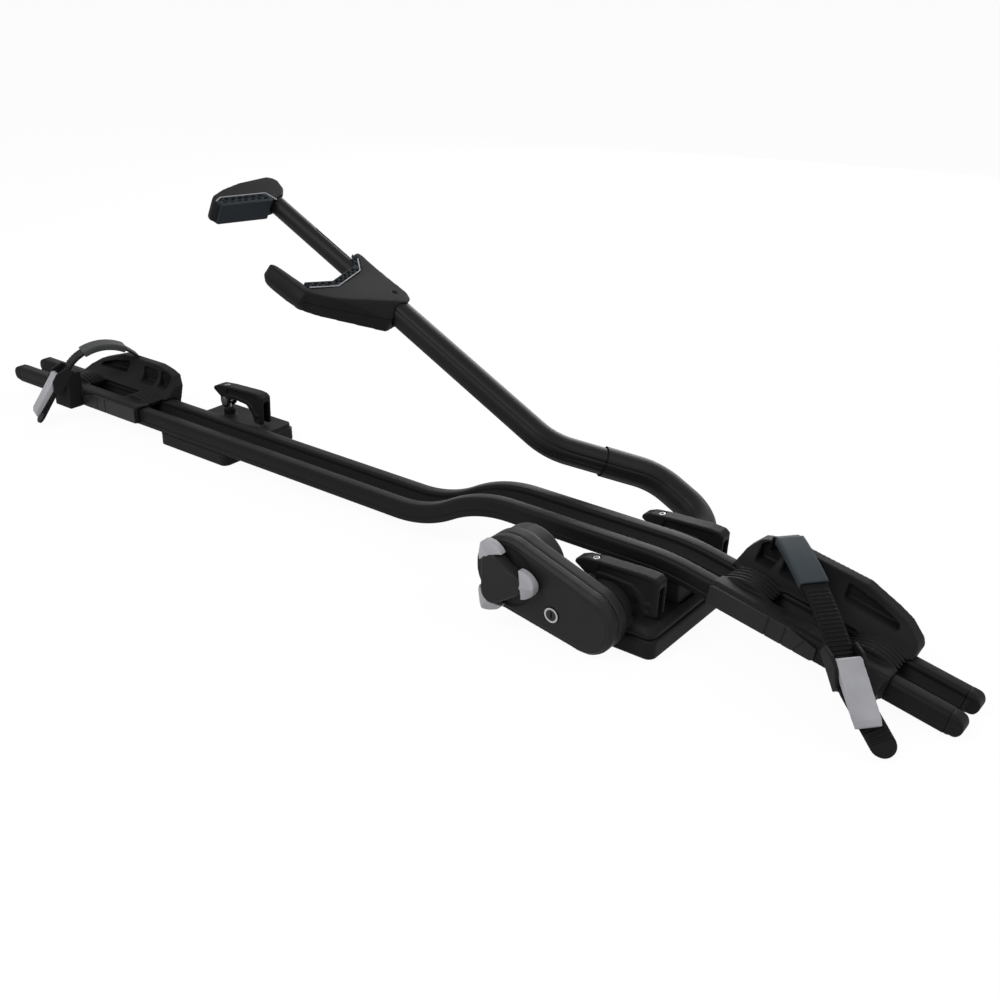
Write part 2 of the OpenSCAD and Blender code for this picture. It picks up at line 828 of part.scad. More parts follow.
module rear_foot() {
    rib_t = 2;
    color("#232427")
        difference() {
            union() {
                translate([0, 0, pad_proud])
                    linear_extrude(rail_rear_z - passing - pad_proud)
                        rear_foot_outline(0);
                intersection() {
                    linear_extrude(rear_h)
                        rear_foot_outline(rib_t);
                    translate([-beyond + rear_mid_x, rail_w / 2 + passing, pad_proud])
                        cube([2 * beyond, beyond, beyond]);
                }
                translate([rear_x, rear_lever_y, pad_proud])
                    cylinder(r = seat_boss_r, h = rear_pivot_z - seat_drop - pad_proud);
            }
            for (z = [7, 12])
                difference() {
                    translate([0, 0, z])
                        linear_extrude(rib_t)
                            rear_foot_outline(-over);
                    translate([0, 0, z - over])
                        linear_extrude(rib_t + 2 * over)
                            rear_foot_outline(rib_t);
                }
            translate([0, 0, -over])
                linear_extrude(pad_t + over)
                    rear_foot_outline(base_corner_r / 2);
            translate([rear_x, rear_lever_y, 0])
                t_bolt_hole();
            at_rear_screws() {
                translate([0, 0, pad_t - over])
                    cylinder(r = 2 * screw_r, h = base_screw_head_h + over);
                cylinder(r = screw_r + seated, h = beyond);
            }
        }
}

module rear_foot_pad() {
    color("#111214")
        difference() {
            linear_extrude(pad_t)
                rear_foot_outline(base_corner_r / 2 + seated);
            translate([rear_x, rear_lever_y, 0])
                t_bolt_hole();
        }
}

module rear_slide_nut() {
    nut_z = rail_rear_z + rail_wall + passing;
    nut_t = gutter_floor - 2 * rail_wall - 2 * passing;
    color("#9a9da3")
        difference() {
            translate([rear_mid_x - rear_l / 2 + 10, -slot_room_w / 2 + passing, nut_z])
                cube([rear_l - 20, slot_room_w - 2 * passing, nut_t]);
            at_rear_screws()
                cylinder(r = screw_r + seated, h = beyond);
        }
}

module rear_foot_screws() {
    color("#8d9096")
        at_rear_screws() {
            translate([0, 0, pad_t])
                cylinder(r = 2 * screw_r - seated, h = base_screw_head_h - over);
            translate([0, 0, pad_t])
                cylinder(r = screw_r, h = rail_rear_z + gutter_floor - rail_wall - passing - pad_t);
        }
}

module rear_lever() {
    color("#26272a")
        translate([rear_x, rear_lever_y, rear_pivot_z])
            lever();
}

module rear_barrel_nut() {
    color("#9a9da3")
        translate([rear_x, rear_lever_y, rear_pivot_z])
            barrel_nut();
}

module rear_t_bolt() {
    color("#9a9da3")
        translate([rear_x, rear_lever_y, 0])
            t_bolt(rear_pivot_z);
}

// The arm's own frame: local X along the arm, Y to the far side, Z square to the arm's plane.
module arm_frame() {
    translate([0, 0, pivot_z])
        rotate([0, arm_angle, 0])
            mirror([1, 0, 0])
                children();
}

// The arm's bent path, from the end of the cross shaft.
module arm_path() {
    arm_frame()
        translate([0, shaft_far, 0])
            rotate([90, 0, 90])
                children();
}

// Round section with shallow grooves along it.
module grooved(r) {
    difference() {
        circle(r);
        for (angle = [55, 90, 125, 235, 270, 305])
            rotate(angle)
                translate([r + groove_r / 2, 0])
                    circle(groove_r);
    }
}

module arm_shaft() {
    color("#77797e")
        translate([0, 0, pivot_z])
            difference() {
                rod_y(shaft_r, hub_floor_y, shaft_far);
                rod_y(shaft_bore_r, -base_w, base_w);
            }
}

module lower_arm() {
    cuff = shaft_out - 1.5;
    cuff_step = 0.5;
    color("#2a2b2e")
        difference() {
            union() {
                arm_path()
                    run(lower_legs) {
                        grooved(lower_r);
                        grooved(lower_r + ring);
                    }
                translate([0, 0, pivot_z])
                    rod_y(lower_r + cuff_step, shaft_far - cuff, shaft_far + over);
            }
            arm_path()
                run(lower_legs) {
                    circle(shaft_bore_r + 4);
                    circle(shaft_bore_r + 4 + ring);
                }
            translate([0, 0, pivot_z])
                rod_y(shaft_r + seated, 0, shaft_far);
            arm_path()
                after(elbow_legs)
                    translate([lower_run - socket_len, 0, 0])
                        rotate([0, 90, 0])
                            cylinder(r = tube_r + seated, h = socket_len + over);
        }
}

module tube_section(grow) {
    difference() {
        grooved(tube_r + grow);
        circle(tube_bore_r - grow);
    }
}

module arm_tube() {
    color("#2f3033")
        arm_path()
            after(elbow_legs)
                translate([lower_run - socket_len, 0, 0])
                    run(concat(tube_legs, [[upper_run, 0]])) {
                        tube_section(0);
                        tube_section(ring);
                    }
}

// Outline of the knob housing: two circles and a band between them, a little narrower than their tangents.
module link(r1, r2) {
    inset = 0.3;
    r3 = r1 - inset;
    r4 = r2 - inset;
    tilt = asin((r1 - r2) / knob_reach);
    translate([0, pivot_z])
        circle(r1);
    translate([-knob_x, knob_z])
        circle(r2);
    translate([0, pivot_z])
        rotate(knob_tilt)
            polygon([r3 * [sin(tilt), cos(tilt)],
                [knob_reach + r4 * sin(tilt), r4 * cos(tilt)],
                [knob_reach + r4 * sin(tilt), -r4 * cos(tilt)],
                r3 * [sin(tilt), -cos(tilt)]]);
}

// Places its children on the knob's axis.
module at_knob() {
    translate([-knob_x, 0, knob_z])
        children();
}

module at_housing_screws() {
    for (spot = [[-34, 66], [-60, 24], [18, 52]])
        translate([spot[0], 0, spot[1]])
            children();
}

module knob_housing() {
    boss_r = 5;
    color("#232427")
        difference() {
            union() {
                difference() {
                    union() {
                        slab(split_y, hub_back_y)
                            link(hub_end_r, knob_end_r);
                        at_knob()
                            rod_y(knob_end_r - 2, hub_back_y - over, knob_back_y);
                    }
                    slab(split_y - over, hub_floor_y)
                        link(hub_end_r - housing_wall, knob_end_r - housing_wall);
                    at_knob()
                        rod_y(knob_end_r - 2 - housing_wall, split_y, knob_back_y - housing_wall);
                }
                at_housing_screws()
                    rod_y(boss_r, split_y + seated, hub_back_y - over);
            }
            translate([0, 0, pivot_z])
                rod_y(shaft_r + seated, -face_y, 0);
            at_knob()
                rod_y(spindle_r + running, split_y, 0);
            at_housing_screws()
                rod_y(screw_r / 2 + seated, -face_y, hub_back_y - 2 * over);
        }
}

module housing_cover() {
    bevel = 3;
    seat_r = 33;
    color("#26272a")
        difference() {
            union() {
                slab(-face_y, -face_y + bevel)
                    link(hub_end_r - bevel, knob_end_r - bevel);
                slab(-face_y + bevel, split_y)
                    link(hub_end_r, knob_end_r);
            }
            slab(-face_y + bevel + housing_wall, split_y + over)
                link(hub_end_r - housing_wall, knob_end_r - housing_wall);
            at_knob() {
                rod_y(seat_r, -face_y - over, -face_y + 1.5);
                rod_y(spindle_r + passing, -face_y - over, 0);
            }
            translate([lock_x, 0, lock_z])
                rod_y(lock_bezel_r + seated, -face_y - over, 0);
            at_housing_screws()
                rod_y(screw_r / 2 + seated, -face_y + bevel, 0);
        }
}

// One countersunk screw along local +Z.
module small_screw(length) {
    cylinder(r = screw_r / 2, h = length);
    cylinder(r = screw_r, h = 2 - seated);
}

module arm_screws() {
    color("#6d7076") {
        at_housing_screws()
            rod_y(screw_r / 2, -face_y + 3 + housing_wall, hub_back_y - 4);
        arm_frame()
            for (spot = head_screw_spots)
                translate([spot[0], spot[1], -jaw_half + 2])
                    small_screw(2 * jaw_half - 6);
    }
}

module lock_bezel() {
    color("#8b8e93")
        translate([lock_x, 0, lock_z])
            difference() {
                rod_y(lock_bezel_r, -face_y - 0.8, -face_y + lock_depth);
                rod_y(lock_r + running, -face_y - over, -face_y + lock_depth - 2);
            }
}

module lock_barrel() {
    key_w = 1.6;
    key_l = 7;
    color("#b4b7bb")
        translate([lock_x, 0, lock_z])
            difference() {
                rod_y(lock_r, -face_y - 0.4, -face_y + lock_depth - 2 - passing);
                translate([-key_w / 2, -face_y - over, -key_l / 2])
                    cube([key_w, 8, key_l]);
            }
}

// Pull wire: from the drum to the cross shaft, then inside the arm to the rod, with a sleeve between the two.
module pull_wire() {
    sleeve_l = 8;
    lead_legs = [[wire_length - wire_turn_r, 0], [wire_turn_r, 90],
        [shaft_far - wire_y - wire_turn_r - sleeve_l / 2, 0]];
    reach = wire_end_s - tube_end_s;
    color("#8d9096") {
        translate([-wire_length * cos(wire_heading), wire_y, pivot_z - wire_length * sin(wire_heading)])
            rotate([0, -wire_heading, 0])
                rotate([-90, 0, 0])
                    run(lead_legs) {
                        circle(wire_r, $fn = 24);
                        circle(wire_r + ring, $fn = 24);
                    }
        translate([0, 0, pivot_z])
            rod_y(1.5 * wire_r, shaft_far - sleeve_l, shaft_far + ring_t);
        arm_path()
            run(concat(elbow_legs, [[offset_run, 0], [offset_r, -offset_angle], [upper_run + reach, 0]])) {
                circle(wire_r, $fn = 24);
                circle(wire_r + ring, $fn = 24);
            }
    }
}

// Space in the head for the tube, the rod's guide and the rod.
module head_bore() {
    translate([0, tube_y, 0])
        rotate([0, 90, 0]) {
            cylinder(r = tube_r + seated, h = tube_end_s + seated);
            cylinder(r = guide_r + seated, h = guide_end_s + 2 * seated);
            cylinder(r = rod_r + passing, h = beyond + mouth_s);
        }
}

// The head seen from its side: thick at the tube, thinner at the jaw.
module head_taper() {
    start = mouth_s - 80;
    slab(tube_y - beyond, tube_y + beyond)
        polygon([[start, head_half], [mouth_s - 5, jaw_half + 0.6], [mouth_s + 80, jaw_half - 0.4],
            [mouth_s + 80, -jaw_half + 0.4], [mouth_s - 5, -jaw_half - 0.6], [start, -head_half]]);
}

module head_shell(z1, z2) {
    arm_frame()
        difference() {
            intersection() {
                translate([0, 0, z1])
                    linear_extrude(z2 - z1)
                        polygon(head_points);
                head_taper();
            }
            head_bore();
            lower_grip_space(seated);
            for (spot = head_screw_spots)
                translate([spot[0], spot[1], -2 * head_half]) {
                    cylinder(r = screw_r / 2 + seated, h = 2 * head_half + jaw_half - 3);
                    cylinder(r = screw_r + seated, h = 2 * head_half - jaw_half + 4);
                }
        }
}

module head_lower_shell() {
    color("#232427")
        head_shell(-head_half, -seated / 2);
}

module head_upper_shell() {
    color("#26272a")
        head_shell(seated / 2, head_half);
}

// Band of rubber along the lower jaw's mouth.
module lower_grip_space(gap) {
    inner = [-lower_grip_t - gap, 0];
    outer = [over, 0];
    translate([0, 0, -head_half])
        linear_extrude(2 * head_half)
            polygon([head_corner + outer, mouth_far + outer, mouth_mid + outer, mouth_near + outer,
                mouth_near + inner, mouth_mid + inner, mouth_far + inner, head_corner + inner]);
}

module lower_jaw_grip() {
    slot_l = 5;
    color("#5f6a75")
        arm_frame()
            difference() {
                intersection() {
                    lower_grip_space(0);
                    cube_about(jaw_half + 1);
                }
                head_bore();
                for (i = [0:4])
                    translate([mouth_s - lower_grip_t / 2 - 1, mouth_mid[1] + 14 - 8 * i, jaw_half - over])
                        cube([3, slot_l, 3 * over]);
            }
}

// Everything within a distance of the arm's plane.
module cube_about(half) {
    translate([0, -beyond, -half])
        cube([2 * beyond, 2 * beyond, 2 * half]);
}

module rod_guide() {
    color("#d7d3c6")
        arm_frame()
            translate([tube_end_s + 2 * seated, tube_y, 0])
                rotate([0, 90, 0])
                    difference() {
                        cylinder(r = guide_r, h = guide_end_s - tube_end_s - 2 * seated);
                        translate([0, 0, -over])
                            cylinder(r = rod_r + running, h = beyond);
                    }
}

module jaw_rod() {
    flat = 1;
    rod_len = rod_end_s - rod_start_s;
    groove_start = guide_end_s + 10 - rod_start_s;
    color("#3a3b3e")
        arm_frame()
            translate([rod_start_s, tube_y, 0])
                difference() {
                    rotate([0, 90, 0])
                        cylinder(r = rod_r, h = rod_len);
                    translate([-over, 0, 0])
                        rotate([0, 90, 0])
                            cylinder(r = rod_r - rod_wall, h = rod_len - rod_wall);
                    translate([groove_start, rod_r - flat, -2.5])
                        cube([grip_s - 60 - guide_end_s, flat + over, 5]);
                }
}

module upper_jaw() {
    color("#26272a")
        arm_frame()
            difference() {
                translate([0, 0, -jaw_half])
                    linear_extrude(2 * jaw_half)
                        polygon(jaw_points);
                upper_grip_space(seated);
                translate([rod_start_s, tube_y, 0])
                    rotate([0, 90, 0])
                        cylinder(r = rod_r + seated, h = rod_end_s - rod_start_s + seated);
            }
}

// Room of the upper jaw's rubber, let into the jaw by a small gap.
module upper_grip_space(gap) {
    translate([gap, 0, -head_half])
        linear_extrude(2 * head_half)
            polygon(grip_points);
    translate([0, gap, -head_half])
        linear_extrude(2 * head_half)
            polygon(grip_points);
    translate([0, -gap, -head_half])
        linear_extrude(2 * head_half)
            polygon(grip_points);
}

module upper_jaw_grip() {
    color("#6b7580")
        arm_frame()
            difference() {
                translate([0, 0, -jaw_half - 0.6])
                    linear_extrude(2 * jaw_half + 1.2)
                        polygon(grip_points);
                for (i = [0:6])
                    translate([grip_s + 16 - 1.1 * i, tube_y - 76 + 8.5 * i, jaw_half - over])
                        cube([4, 4.5, 3 * over]);
            }
}

// Outline of the knob: three lobes round a core.
module knob_outline(reach, tip_r) {
    core_r = 24;
    circle(core_r);
    for (angle = [6, 117, 241])
        rotate(angle) {
            translate([reach - tip_r, 0])
                circle(tip_r);
            translate([0, -tip_r])
                square([reach - tip_r, 2 * tip_r]);
        }
}

// What the pale grips take of each lobe.
module lobe_tips(gap) {
    grip_reach = lobe_reach - lobe_grip_t;
    difference() {
        circle(2 * lobe_reach);
        circle(grip_reach - gap);
    }
}

module knob_core() {
    back_y = -face_y - 0.5;
    color("#1f2022")
        at_knob()
            difference() {
                union() {
                    slab(back_y - knob_len, back_y - 4)
                        difference() {
                            knob_outline(lobe_reach, lobe_r);
                            lobe_tips(0);
                        }
                    slab(back_y - 4 - over, back_y)
                        circle(24);
                }
                rod_y(spindle_r + seated, back_y - knob_len + 6, 0);
            }
}

module knob_grips() {
    back_y = -face_y - 0.5;
    color("#c9cbcd")
        at_knob()
            slab(back_y - knob_len + 1.5, back_y - 4)
                intersection() {
                    knob_outline(lobe_reach, lobe_r);
                    lobe_tips(-seated);
                }
}

module knob_spindle() {
    back_y = -face_y - 0.5;
    color("#9a9da3")
        at_knob()
            rod_y(spindle_r, back_y - knob_len + 6 + seated, knob_back_y - over);
}

module torque_clutch() {
    color("#b08d4a")
        at_knob()
            difference() {
                rod_y(drum_r + 8, -face_y + 7, wire_y - drum_w / 2 - 1.5);
                rod_y(spindle_r + seated, -face_y, 0);
            }
}

module wire_drum() {
    color("#9a9da3")
        at_knob()
            difference() {
                union() {
                    rod_y(drum_r - passing, wire_y - drum_w / 2, wire_y + drum_w / 2);
                    for (side = [-1, 1])
                        rod_y(drum_r + 4, wire_y + side * drum_w / 2 - 0.75, wire_y + side * drum_w / 2 + 0.75);
                }
                rod_y(spindle_r + seated, -face_y, 0);
            }
}

// Frame of the front holder: local X outward along the rail, Z up from the rail's underside.
module front_holder_frame() {
    rail_frame()
        after(to_front_legs)
            translate([front_holder_x, 0, -rail_h / 2])
                children();
}

// Frame of the rear holder, which is the front one's mirror image.
module rear_holder_frame() {
    translate([-rear_holder_x, 0, rail_rear_z])
        mirror([1, 0, 0])
            children();
}

// Section of the far wing, with the trough for the tyre.
module wing_section() {
    side = rail_w / 2 + passing;
    top = rail_h + passing;
    difference() {
        polygon([[gutter_half, top], [side, top], [side, over], [side + holder_wall, over],
            [side + holder_wall + 4, top - 4], [wing_rim_y, wing_h - 11], [wing_rim_y, wing_h],
            [gutter_half, wing_h]]);
        translate([gutter_half - 9, top + 2 + trough_r])
            circle(trough_r);
    }
}

// Section of the near side, which wraps the near ridge.
module near_section() {
    side = rail_w / 2 + passing;
    top = rail_h + passing;
    polygon([[-side - holder_wall, near_low], [-side, near_low], [-side, top], [-gutter_half, top],
        [-gutter_half, top + 2.4], [-side, top + 4.6], [-side - holder_wall, top + 2.6]]);
}

// Outline of the far wing from the side.
module wing_outline() {
    polygon([[0, 0], [0, rail_h], [3, wing_h - 22], [13, wing_h - 9], [26, wing_h - 4], [45, wing_h],
        [124, wing_h], [holder_l - 20, wing_h - 15], [holder_l - 4, wing_h - 25], [holder_l, wing_h - 31],
        [holder_l - 3, 6], [holder_l - 8, 0]]);
}

// Pockets in the wing's inner face, two short ones and a long one that narrows.
module wing_pockets() {
    for (x = [[15, 38], [42, 75]])
        polygon([[x[0] + 2, wing_h - 27], [x[0], wing_h - 13], [x[0] + 5, wing_h - 9], [x[1] - 2, wing_h - 7],
            [x[1], wing_h - 11], [x[1] - 3, wing_h - 27]]);
    polygon([[109, wing_h - 22], [107, wing_h - 7.5], [141, wing_h - 12.5], [holder_l - 27, wing_h - 19],
        [holder_l - 24, wing_h - 24]]);
}

module chock(x) {
    top = rail_h + passing;
    half_w = gutter_half - 1;
    rib_pitch = 6;
    intersection() {
        translate([x, 0, top + chock_rise - chock_r]) {
            rod_y(chock_r - 2.5, -gutter_half - over, gutter_half + 3);
            for (y = [-gutter_half:rib_pitch:gutter_half])
                rod_y(chock_r, y, y + rib_pitch / 2);
        }
        union() {
            translate([x - chock_r, -gutter_half - over, top])
                cube([2 * chock_r, 2 * gutter_half + 4, chock_r]);
            translate([x - chock_r / 2, -half_w, top - 5])
                cube([chock_r, 2 * half_w, 5 + over]);
        }
    }
}

module tray() {
    near_start = 4;
    difference() {
        intersection() {
            rotate([90, 0, 90])
                linear_extrude(holder_l)
                    wing_section();
            slab(0, rail_w + wing_rim_y)
                wing_outline();
        }
        slab(gutter_half, wing_rim_y - 10)
            wing_pockets();
    }
    translate([near_start, 0, 0])
        rotate([90, 0, 90])
            linear_extrude(near_l - near_start)
                near_section();
    chock(32);
    chock(holder_l - 30);
}

module side_panel() {
    face = -rail_w / 2 - passing - holder_wall;
    start = 4;
    line_w = 1;
    line_depth = 0.8;
    difference() {
        slab(face - panel_t, face)
            polygon([[start, near_low + 1], [start, panel_h - 2], [start + 3, panel_h], [panel_l - 30, panel_h],
                [panel_l, panel_h - 6], [panel_l, near_low + 3], [panel_l - 3, near_low + 1]]);
        for (x = [68, 86])
            translate([x, face - panel_t - over, 0])
                cube([line_w, line_depth + over, panel_h]);
        translate([96, face - panel_t - over, 0])
            rotate([0, 28, 0])
                cube([line_w, line_depth + over, 2 * panel_h]);
    }
}

// A strap's own frame: local X along its plan direction from its far anchor.
module strap_frame(spot, turn, z) {
    translate([spot[0], spot[1], z])
        rotate([0, 0, turn])
            children();
}

// The start of a strap's path, rising out of the far wing.
module strap_path(rise) {
    rotate([0, -rise, 0])
        children();
}

module strap_section(w, t) {
    square([w, t], center = true);
}

// Strap with teeth on its free stretch and on its tail, which turns a little beyond the buckle.
module strap_band(legs, rise, pad_share, shift, tail_turn) {
    arc_r = legs[2][0];
    arc_angle = -legs[2][1];
    tooth_turn = tooth_pitch / arc_r * 180 / PI;
    tail = legs[3][0];
    through = shift + buckle_l / 2 + 3;
    lead = [legs[0], legs[1]];
    whole = [legs[0], legs[1], legs[2], [through, 0]];
    strap_path(rise) {
        run(whole) {
            strap_section(strap_w, strap_t);
            strap_section(strap_w + 2 * ring, strap_t + 2 * ring);
        }
        after(whole) {
            translate([0, 0, -strap_t / 2])
                cylinder(r = strap_w / 2, h = strap_t);
            rotate([0, 0, tail_turn]) {
                translate([0, -strap_w / 2, -strap_t / 2])
                    cube([tail - strap_w / 2, strap_w, strap_t]);
                translate([tail - strap_w / 2, 0, -strap_t / 2])
                    cylinder(r = strap_w / 2, h = strap_t);
                for (x = [strap_w / 2:tooth_pitch:tail - strap_w / 2])
                    translate([x, 0, 0])
                        tooth(0);
            }
        }
        after(lead)
            translate([0, 0, -arc_r])
                for (turn = [arc_angle * pad_share[1] + 2 * tooth_turn:tooth_turn:arc_angle - tooth_turn])
                    rotate([0, turn, 0])
                        tooth(arc_r);
    }
}

module tooth(height) {
    tooth_t = 2;
    translate([-tooth_t / 2, -strap_w / 2 + 2, height + strap_t / 2 - 0.2])
        cube([tooth_t, strap_w - 4, tooth_h + 0.2]);
}

// Rubber sleeve round the upper stretch of a strap.
module rim_pad(legs, rise, pad_share) {
    arc_r = legs[2][0];
    arc_angle = -legs[2][1];
    strap_path(rise)
        after([legs[0], legs[1], [arc_r, -arc_angle * pad_share[0]]])
            run([[arc_r, -arc_angle * (pad_share[1] - pad_share[0])]])
                difference() {
                    rounded(strap_w + 4, rim_pad_t, 2);
                    strap_section(strap_w + 2 * seated, strap_t + 2 * seated);
                }
}

// Frame at a strap's buckle: local X down the strap, Z outward.
module buckle_frame(legs, rise, shift) {
    strap_path(rise)
        after([legs[0], legs[1], legs[2], [shift, 0]])
            children();
}

module buckle() {
    floor_z = -strap_t / 2 - passing;
    translate([-buckle_l / 2, -buckle_half - buckle_wall, floor_z - buckle_wall])
        cube([buckle_l, 2 * (buckle_half + buckle_wall), buckle_wall]);
    for (side = [-1, 1])
        translate([0, side * (buckle_half + buckle_wall / 2), 0])
            slab(-buckle_wall / 2, buckle_wall / 2)
                polygon([[-buckle_l / 2, floor_z - buckle_wall], [-buckle_l / 2, 6],
                    [-6, buckle_pin_z + 5], [6, buckle_pin_z + 5], [buckle_l / 2, 4],
                    [buckle_l / 2, floor_z - buckle_wall]]);
    translate([0, 0, buckle_pin_z])
        rod_y(buckle_pin_r, -buckle_half - over, buckle_half + over);
}

// Pump lever on the buckle's pin, lying along the strap.
module pump_lever() {
    hub_r = 5;
    half = buckle_half - passing;
    low = strap_t / 2 + tooth_h + passing;
    translate([0, 0, buckle_pin_z])
        difference() {
            union() {
                rod_y(hub_r, -half, half);
                slab(-half, half)
                    polygon([[0, hub_r - 0.5], [pump_len - 6, hub_r - 1], [pump_len, hub_r - 4],
                        [pump_len, hub_r - pump_t], [pump_len - 10, hub_r - 1 - pump_t], [0, -hub_r + 1.2]]);
            }
            rod_y(buckle_pin_r + running, -2 * half, 2 * half);
            translate([-beyond, -beyond, low - buckle_pin_z - beyond])
                cube([2 * beyond, 2 * beyond, beyond]);
        }
}

// Block on the near side of a tray that carries a buckle.
module buckle_block(x, length) {
    wall_y = -rail_w / 2 - passing - holder_wall;
    reach = 22;
    translate([x, wall_y - reach, near_low])
        cube([length, reach + over, 2 * panel_h]);
}

// Everything above a buckle's floor.
module above_buckle() {
    floor_z = -strap_t / 2 - passing - buckle_wall;
    translate([-beyond / 2, -beyond / 2, floor_z])
        cube([beyond, beyond, beyond]);
}

// Slot in a far wing for the foot of a strap.
module strap_slot(legs, rise) {
    strap_path(rise)
        translate([-over, 0, -strap_t / 2 - seated])
            translate([0, -strap_w / 2 - seated, 0])
                cube([legs[0][0] + 2 * over, strap_w + 2 * seated, strap_t + 2 * seated]);
}

module front_tray() {
    color("#232427")
        difference() {
            union() {
                front_holder_frame()
                    tray();
                difference() {
                    front_holder_frame()
                        buckle_block(front_block_x, front_block_l);
                    strap_frame(front_strap_spot, front_strap_turn, front_strap_z)
                        buckle_frame(front_strap, front_rise, front_buckle_shift)
                            above_buckle();
                }
            }
            strap_frame(front_strap_spot, front_strap_turn, front_strap_z)
                strap_slot(front_strap, front_rise);
        }
}

module rear_tray() {
    color("#232427")
        difference() {
            union() {
                rear_holder_frame()
                    tray();
                difference() {
                    rear_holder_frame()
                        buckle_block(rear_block_x, rear_block_l);
                    strap_frame(rear_strap_spot, rear_strap_turn, rear_strap_z)
                        buckle_frame(rear_strap, rear_rise, rear_buckle_shift)
                            above_buckle();
                }
            }
            strap_frame(rear_strap_spot, rear_strap_turn, rear_strap_z)
                strap_slot(rear_strap, rear_rise);
        }
}

module front_side_panel() {
    color("#2a2b2e")
        front_holder_frame()
            side_panel();
}

module rear_side_panel() {
    color("#2a2b2e")
        rear_holder_frame()
            side_panel();
}

module front_strap_band() {
    color("#2e3033")
        strap_frame(front_strap_spot, front_strap_turn, front_strap_z)
            strap_band(front_strap, front_rise, front_pad_share, front_buckle_shift, front_tail_turn);
}

module rear_strap_band() {
    color("#2e3033")
        strap_frame(rear_strap_spot, rear_strap_turn, rear_strap_z)
            strap_band(rear_strap, rear_rise, rear_pad_share, rear_buckle_shift, rear_tail_turn);
}

module front_rim_pad() {
    color("#6c7780")
        strap_frame(front_strap_spot, front_strap_turn, front_strap_z)
            rim_pad(front_strap, front_rise, front_pad_share);
}

module rear_rim_pad() {
    color("#55585c")
        strap_frame(rear_strap_spot, rear_strap_turn, rear_strap_z)
            rim_pad(rear_strap, rear_rise, rear_pad_share);
}

module front_buckle() {
    color("#1f2022")
        strap_frame(front_strap_spot, front_strap_turn, front_strap_z)
            buckle_frame(front_strap, front_rise, front_buckle_shift)
                buckle();
}

module rear_buckle() {
    color("#1f2022")
        strap_frame(rear_strap_spot, rear_strap_turn, rear_strap_z)
            buckle_frame(rear_strap, rear_rise, rear_buckle_shift)
                buckle();
}

module front_pump_lever() {
    color("#c9cbcd")
        strap_frame(front_strap_spot, front_strap_turn, front_strap_z)
            buckle_frame(front_strap, front_rise, front_buckle_shift)
                pump_lever();
}

module rear_pump_lever() {
    color("#c9cbcd")
        strap_frame(rear_strap_spot, rear_strap_turn, rear_strap_z)
            buckle_frame(rear_strap, rear_rise, rear_buckle_shift)
                pump_lever();
}

rail();
rear_end_cap();
front_end_cap();
front_base();
base_cover();
base_pad();
base_screws();
pivot_bushes();
rail_saddle();
rail_bolts();
near_lever();
near_barrel_nut();
near_t_bolt();
far_lever();
far_barrel_nut();
far_t_bolt();
rear_foot();
rear_foot_pad();
rear_slide_nut();
rear_foot_screws();
rear_lever();
rear_barrel_nut();
rear_t_bolt();
arm_shaft();
lower_arm();
arm_tube();
knob_housing();
housing_cover();
arm_screws();
lock_bezel();
lock_barrel();
pull_wire();
head_lower_shell();
head_upper_shell();
rod_guide();
lower_jaw_grip();
jaw_rod();
upper_jaw();
upper_jaw_grip();
knob_core();
knob_grips();
knob_spindle();
torque_clutch();
wire_drum();
front_tray();
front_side_panel();
front_strap_band();
front_rim_pad();
front_buckle();
front_pump_lever();
rear_tray();
rear_side_panel();
rear_strap_band();
rear_rim_pad();
rear_buckle();
rear_pump_lever();
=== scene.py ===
"""Looks of a roof mounted bike carrier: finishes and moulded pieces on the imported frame."""

import json
import math

import bmesh
import bpy
from mathutils import Matrix, Vector
from mathutils.kdtree import KDTree


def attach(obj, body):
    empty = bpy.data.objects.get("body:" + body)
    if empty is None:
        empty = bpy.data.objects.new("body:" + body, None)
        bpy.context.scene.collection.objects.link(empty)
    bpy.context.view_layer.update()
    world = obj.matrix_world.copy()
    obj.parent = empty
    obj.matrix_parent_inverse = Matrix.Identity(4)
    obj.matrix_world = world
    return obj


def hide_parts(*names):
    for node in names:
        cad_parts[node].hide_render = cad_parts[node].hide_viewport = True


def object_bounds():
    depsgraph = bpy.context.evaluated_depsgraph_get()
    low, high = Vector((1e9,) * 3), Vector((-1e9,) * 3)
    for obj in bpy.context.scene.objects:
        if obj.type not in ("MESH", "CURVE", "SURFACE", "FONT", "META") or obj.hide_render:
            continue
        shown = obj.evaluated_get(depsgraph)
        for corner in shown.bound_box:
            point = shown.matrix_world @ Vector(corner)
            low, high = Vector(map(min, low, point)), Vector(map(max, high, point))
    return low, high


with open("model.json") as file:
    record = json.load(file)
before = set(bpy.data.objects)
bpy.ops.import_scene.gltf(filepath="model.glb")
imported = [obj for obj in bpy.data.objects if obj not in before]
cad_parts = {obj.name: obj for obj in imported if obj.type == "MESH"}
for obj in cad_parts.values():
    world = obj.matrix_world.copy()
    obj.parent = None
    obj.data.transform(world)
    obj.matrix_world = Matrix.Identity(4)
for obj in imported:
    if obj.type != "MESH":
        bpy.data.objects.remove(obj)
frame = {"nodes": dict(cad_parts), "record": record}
CAD_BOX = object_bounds()

bl_info = {
    "name": "Roof Bike Carrier",
    "version": (1, 0, 0),
    "blender": (4, 5, 0),
    "location": "View3D > Sidebar > Carrier",
    "description": "Finishes and moulded pieces of a roof mounted bike carrier",
    "category": "Object",
}

RECORD = frame["record"]
BODY_OF = {
    node: body for body, nodes in RECORD["behaviour"]["bodies"].items() for node in nodes
}
SLOT_OF = {entry["node"]: entry["material_slot"] for entry in RECORD["subparts"]}
MM = 0.001
# Closer than this, vertices are one, and lie on a cut
MERGE = 0.000004
ON_CUT = 0.000001
# Edges sharper than this, in degrees, stay sharp on drawn and on turned metal
DRAWN_EDGE, TURNED_EDGE = 35, 40
